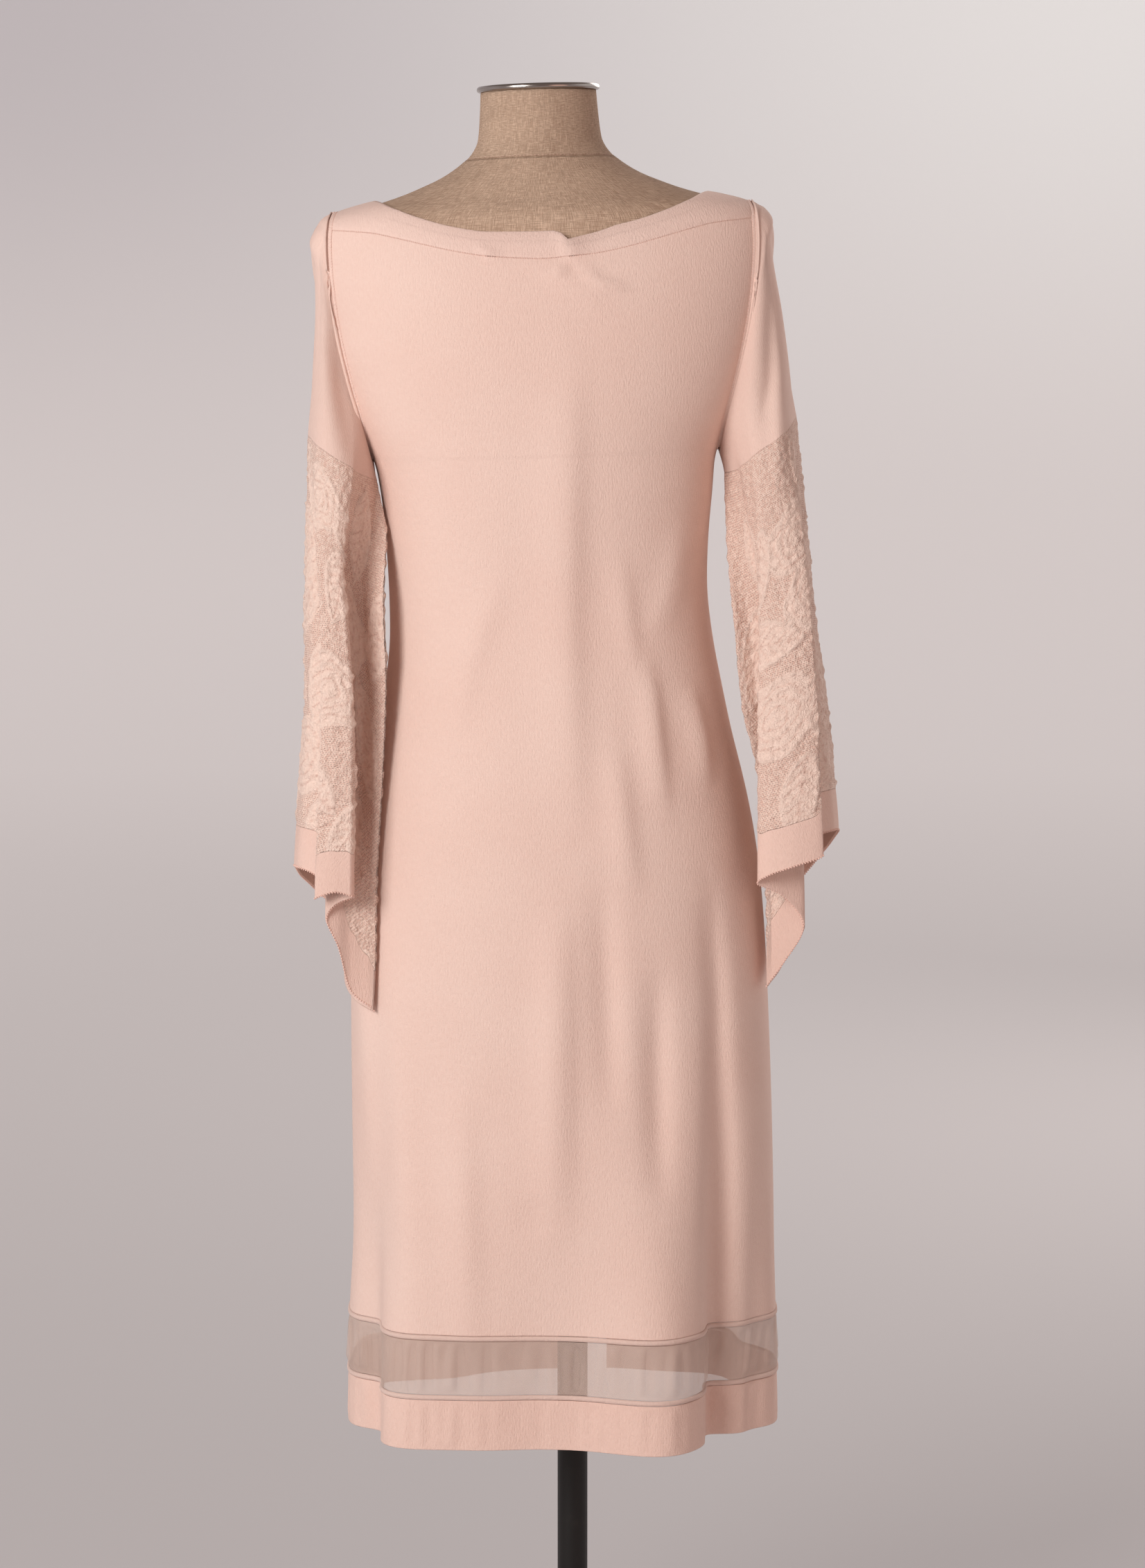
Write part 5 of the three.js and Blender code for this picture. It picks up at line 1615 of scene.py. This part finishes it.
def black_finish():
    black = Finish("black_enamel")
    grain = black.noise(800.0, 3.0, 0.6)
    worn = black.noise(26.0, 5.0, 0.65)
    shade = black.colour(worn.between(0.5, 0.8), BLACK, WORN_BLACK)
    rough = 0.38 + worn * 0.2
    normal = black.bump(grain, 0.06 * MM, 0.5)
    return black.finish(Base_Color=shade, Metallic=0.2, Roughness=rough, Normal=normal)


polished_steel = steel_finish()
black_enamel = black_finish()


# %% Turned parts
def rounded(outline, radius=1.2, steps=4):
    """An outline with each inner corner rounded off."""
    points = [np.array(p, float) for p in outline]
    made = [points[0]]
    for before, corner, after in zip(points, points[1:], points[2:]):
        back, ahead = before - corner, after - corner
        cut = min(radius, np.linalg.norm(back) / 2.2, np.linalg.norm(ahead) / 2.2)
        first = corner + unit(back) * cut
        last = corner + unit(ahead) * cut
        for k in range(steps + 1):
            t = k / steps
            made.append(first * (1 - t) ** 2 + corner * 2 * t * (1 - t) + last * t**2)
    return made + [points[-1]]


def turned(name, outline, sides, finish, place=(0, 0, 0), lean=0.0):
    """An outline spun round its axis, then leant to the left and put in its place."""
    profile = np.array(rounded(outline))[1:-1]
    turn = once_round(sides)
    radius, height = profile[:, 0][:, None], profile[:, 1][:, None]
    x, y, z = radius * np.cos(turn), radius * np.sin(turn), height + 0 * turn
    leant_x = x * math.cos(lean) + z * math.sin(lean)
    leant_z = z * math.cos(lean) - x * math.sin(lean)
    return closed_rings(name, np.stack([leant_x, y, leant_z], axis=-1) + np.array(place), finish)


CAP_RADIUS = 53.2
CAP_HEIGHT = 5.2
POLE_RADIUS = 13.4
BASE_RADIUS = 180
COLLAR_RADIUS = 24
POLE_LOW = 51.4
POLE_HIGH = 706.8
FORM_TOP = FORM_ROWS[-1][0]
cap = turned("neck_cap", [
    (0, 0), (CAP_RADIUS - 1.6, 0), (CAP_RADIUS, 1.2), (CAP_RADIUS, CAP_HEIGHT - 1.6),
    (CAP_RADIUS - 1.4, CAP_HEIGHT), (CAP_RADIUS - 3.2, CAP_HEIGHT - 0.6), (CAP_RADIUS - 5, CAP_HEIGHT - 0.4),
    (CAP_RADIUS * 0.6, CAP_HEIGHT + 0.5), (0, CAP_HEIGHT + 0.9),
], 160, polished_steel, (form_middle(FORM_TOP), -0.5, FORM_TOP + SEAM_GAP), LEAN_SLOPE)
base = turned("stand_foot", [
    (0, 0), (BASE_RADIUS - 2, 0), (BASE_RADIUS, 2), (BASE_RADIUS, 5.5), (BASE_RADIUS - 3, 8),
    (COLLAR_RADIUS + 30, 13), (COLLAR_RADIUS + 0.5, 16), (COLLAR_RADIUS, 48), (COLLAR_RADIUS - 3, 51),
    (0, 51),
], 160, black_enamel)
pole = turned("stand_tube", [
    (0, POLE_LOW), (POLE_RADIUS, POLE_LOW), (POLE_RADIUS, 220), (POLE_RADIUS, 480),
    (POLE_RADIUS, POLE_HIGH), (0, POLE_HIGH),
], 96, black_enamel)

# %% [markdown]
# ## What each piece stands for
# Every piece rides on the one fixed body and hides the solid that it replaces. Its row also names a finish,
# which nothing here uses.

# %% Frame ties
TIES = [
    (back_body, "fine_knit", ["back_panel"]),
    (front_body, "fine_knit", ["front_panel"]),
    (back_band, "fine_knit", ["neck_band_back"]),
    (front_band, "fine_knit", ["neck_band_front"]),
    (upper_roll, "fine_knit", ["piping_upper"]),
    (lower_roll, "fine_knit", ["piping_lower"]),
    (armhole_stitches, "fine_knit", []),
    (band_stitches, "fine_knit", []),
    (picot_edges, "fine_knit", []),
    (torso, "linen", ["form_torso"]),
    (neck_seam, "linen", []),
    (cap, "polished_steel", ["form_neck_cap"]),
    (pole, "black_metal", ["stand_pole"]),
    (base, "black_metal", ["stand_base"]),
]
for name, parts in sleeves.items():
    TIES.append((ridges[name][0], "fine_knit", []))
    TIES.append((parts["upper"], "fine_knit", [f"sleeve_{name}_upper"]))
    TIES.append((parts["lace"], "lace_knit", [f"sleeve_{name}_lace"]))
    TIES.append((parts["cuff"], "fine_knit", [f"sleeve_{name}_cuff"]))
for stretch in SKIRT_STRETCHES:
    TIES.append((nets[stretch], "sheer_net", [f"net_inset_{stretch}"]))
    TIES.append((hems[stretch], "fine_knit", [f"hem_band_{stretch}"]))

for piece, slot, replaced in TIES:
    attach(piece, "root")
    if replaced:
        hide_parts(*replaced)
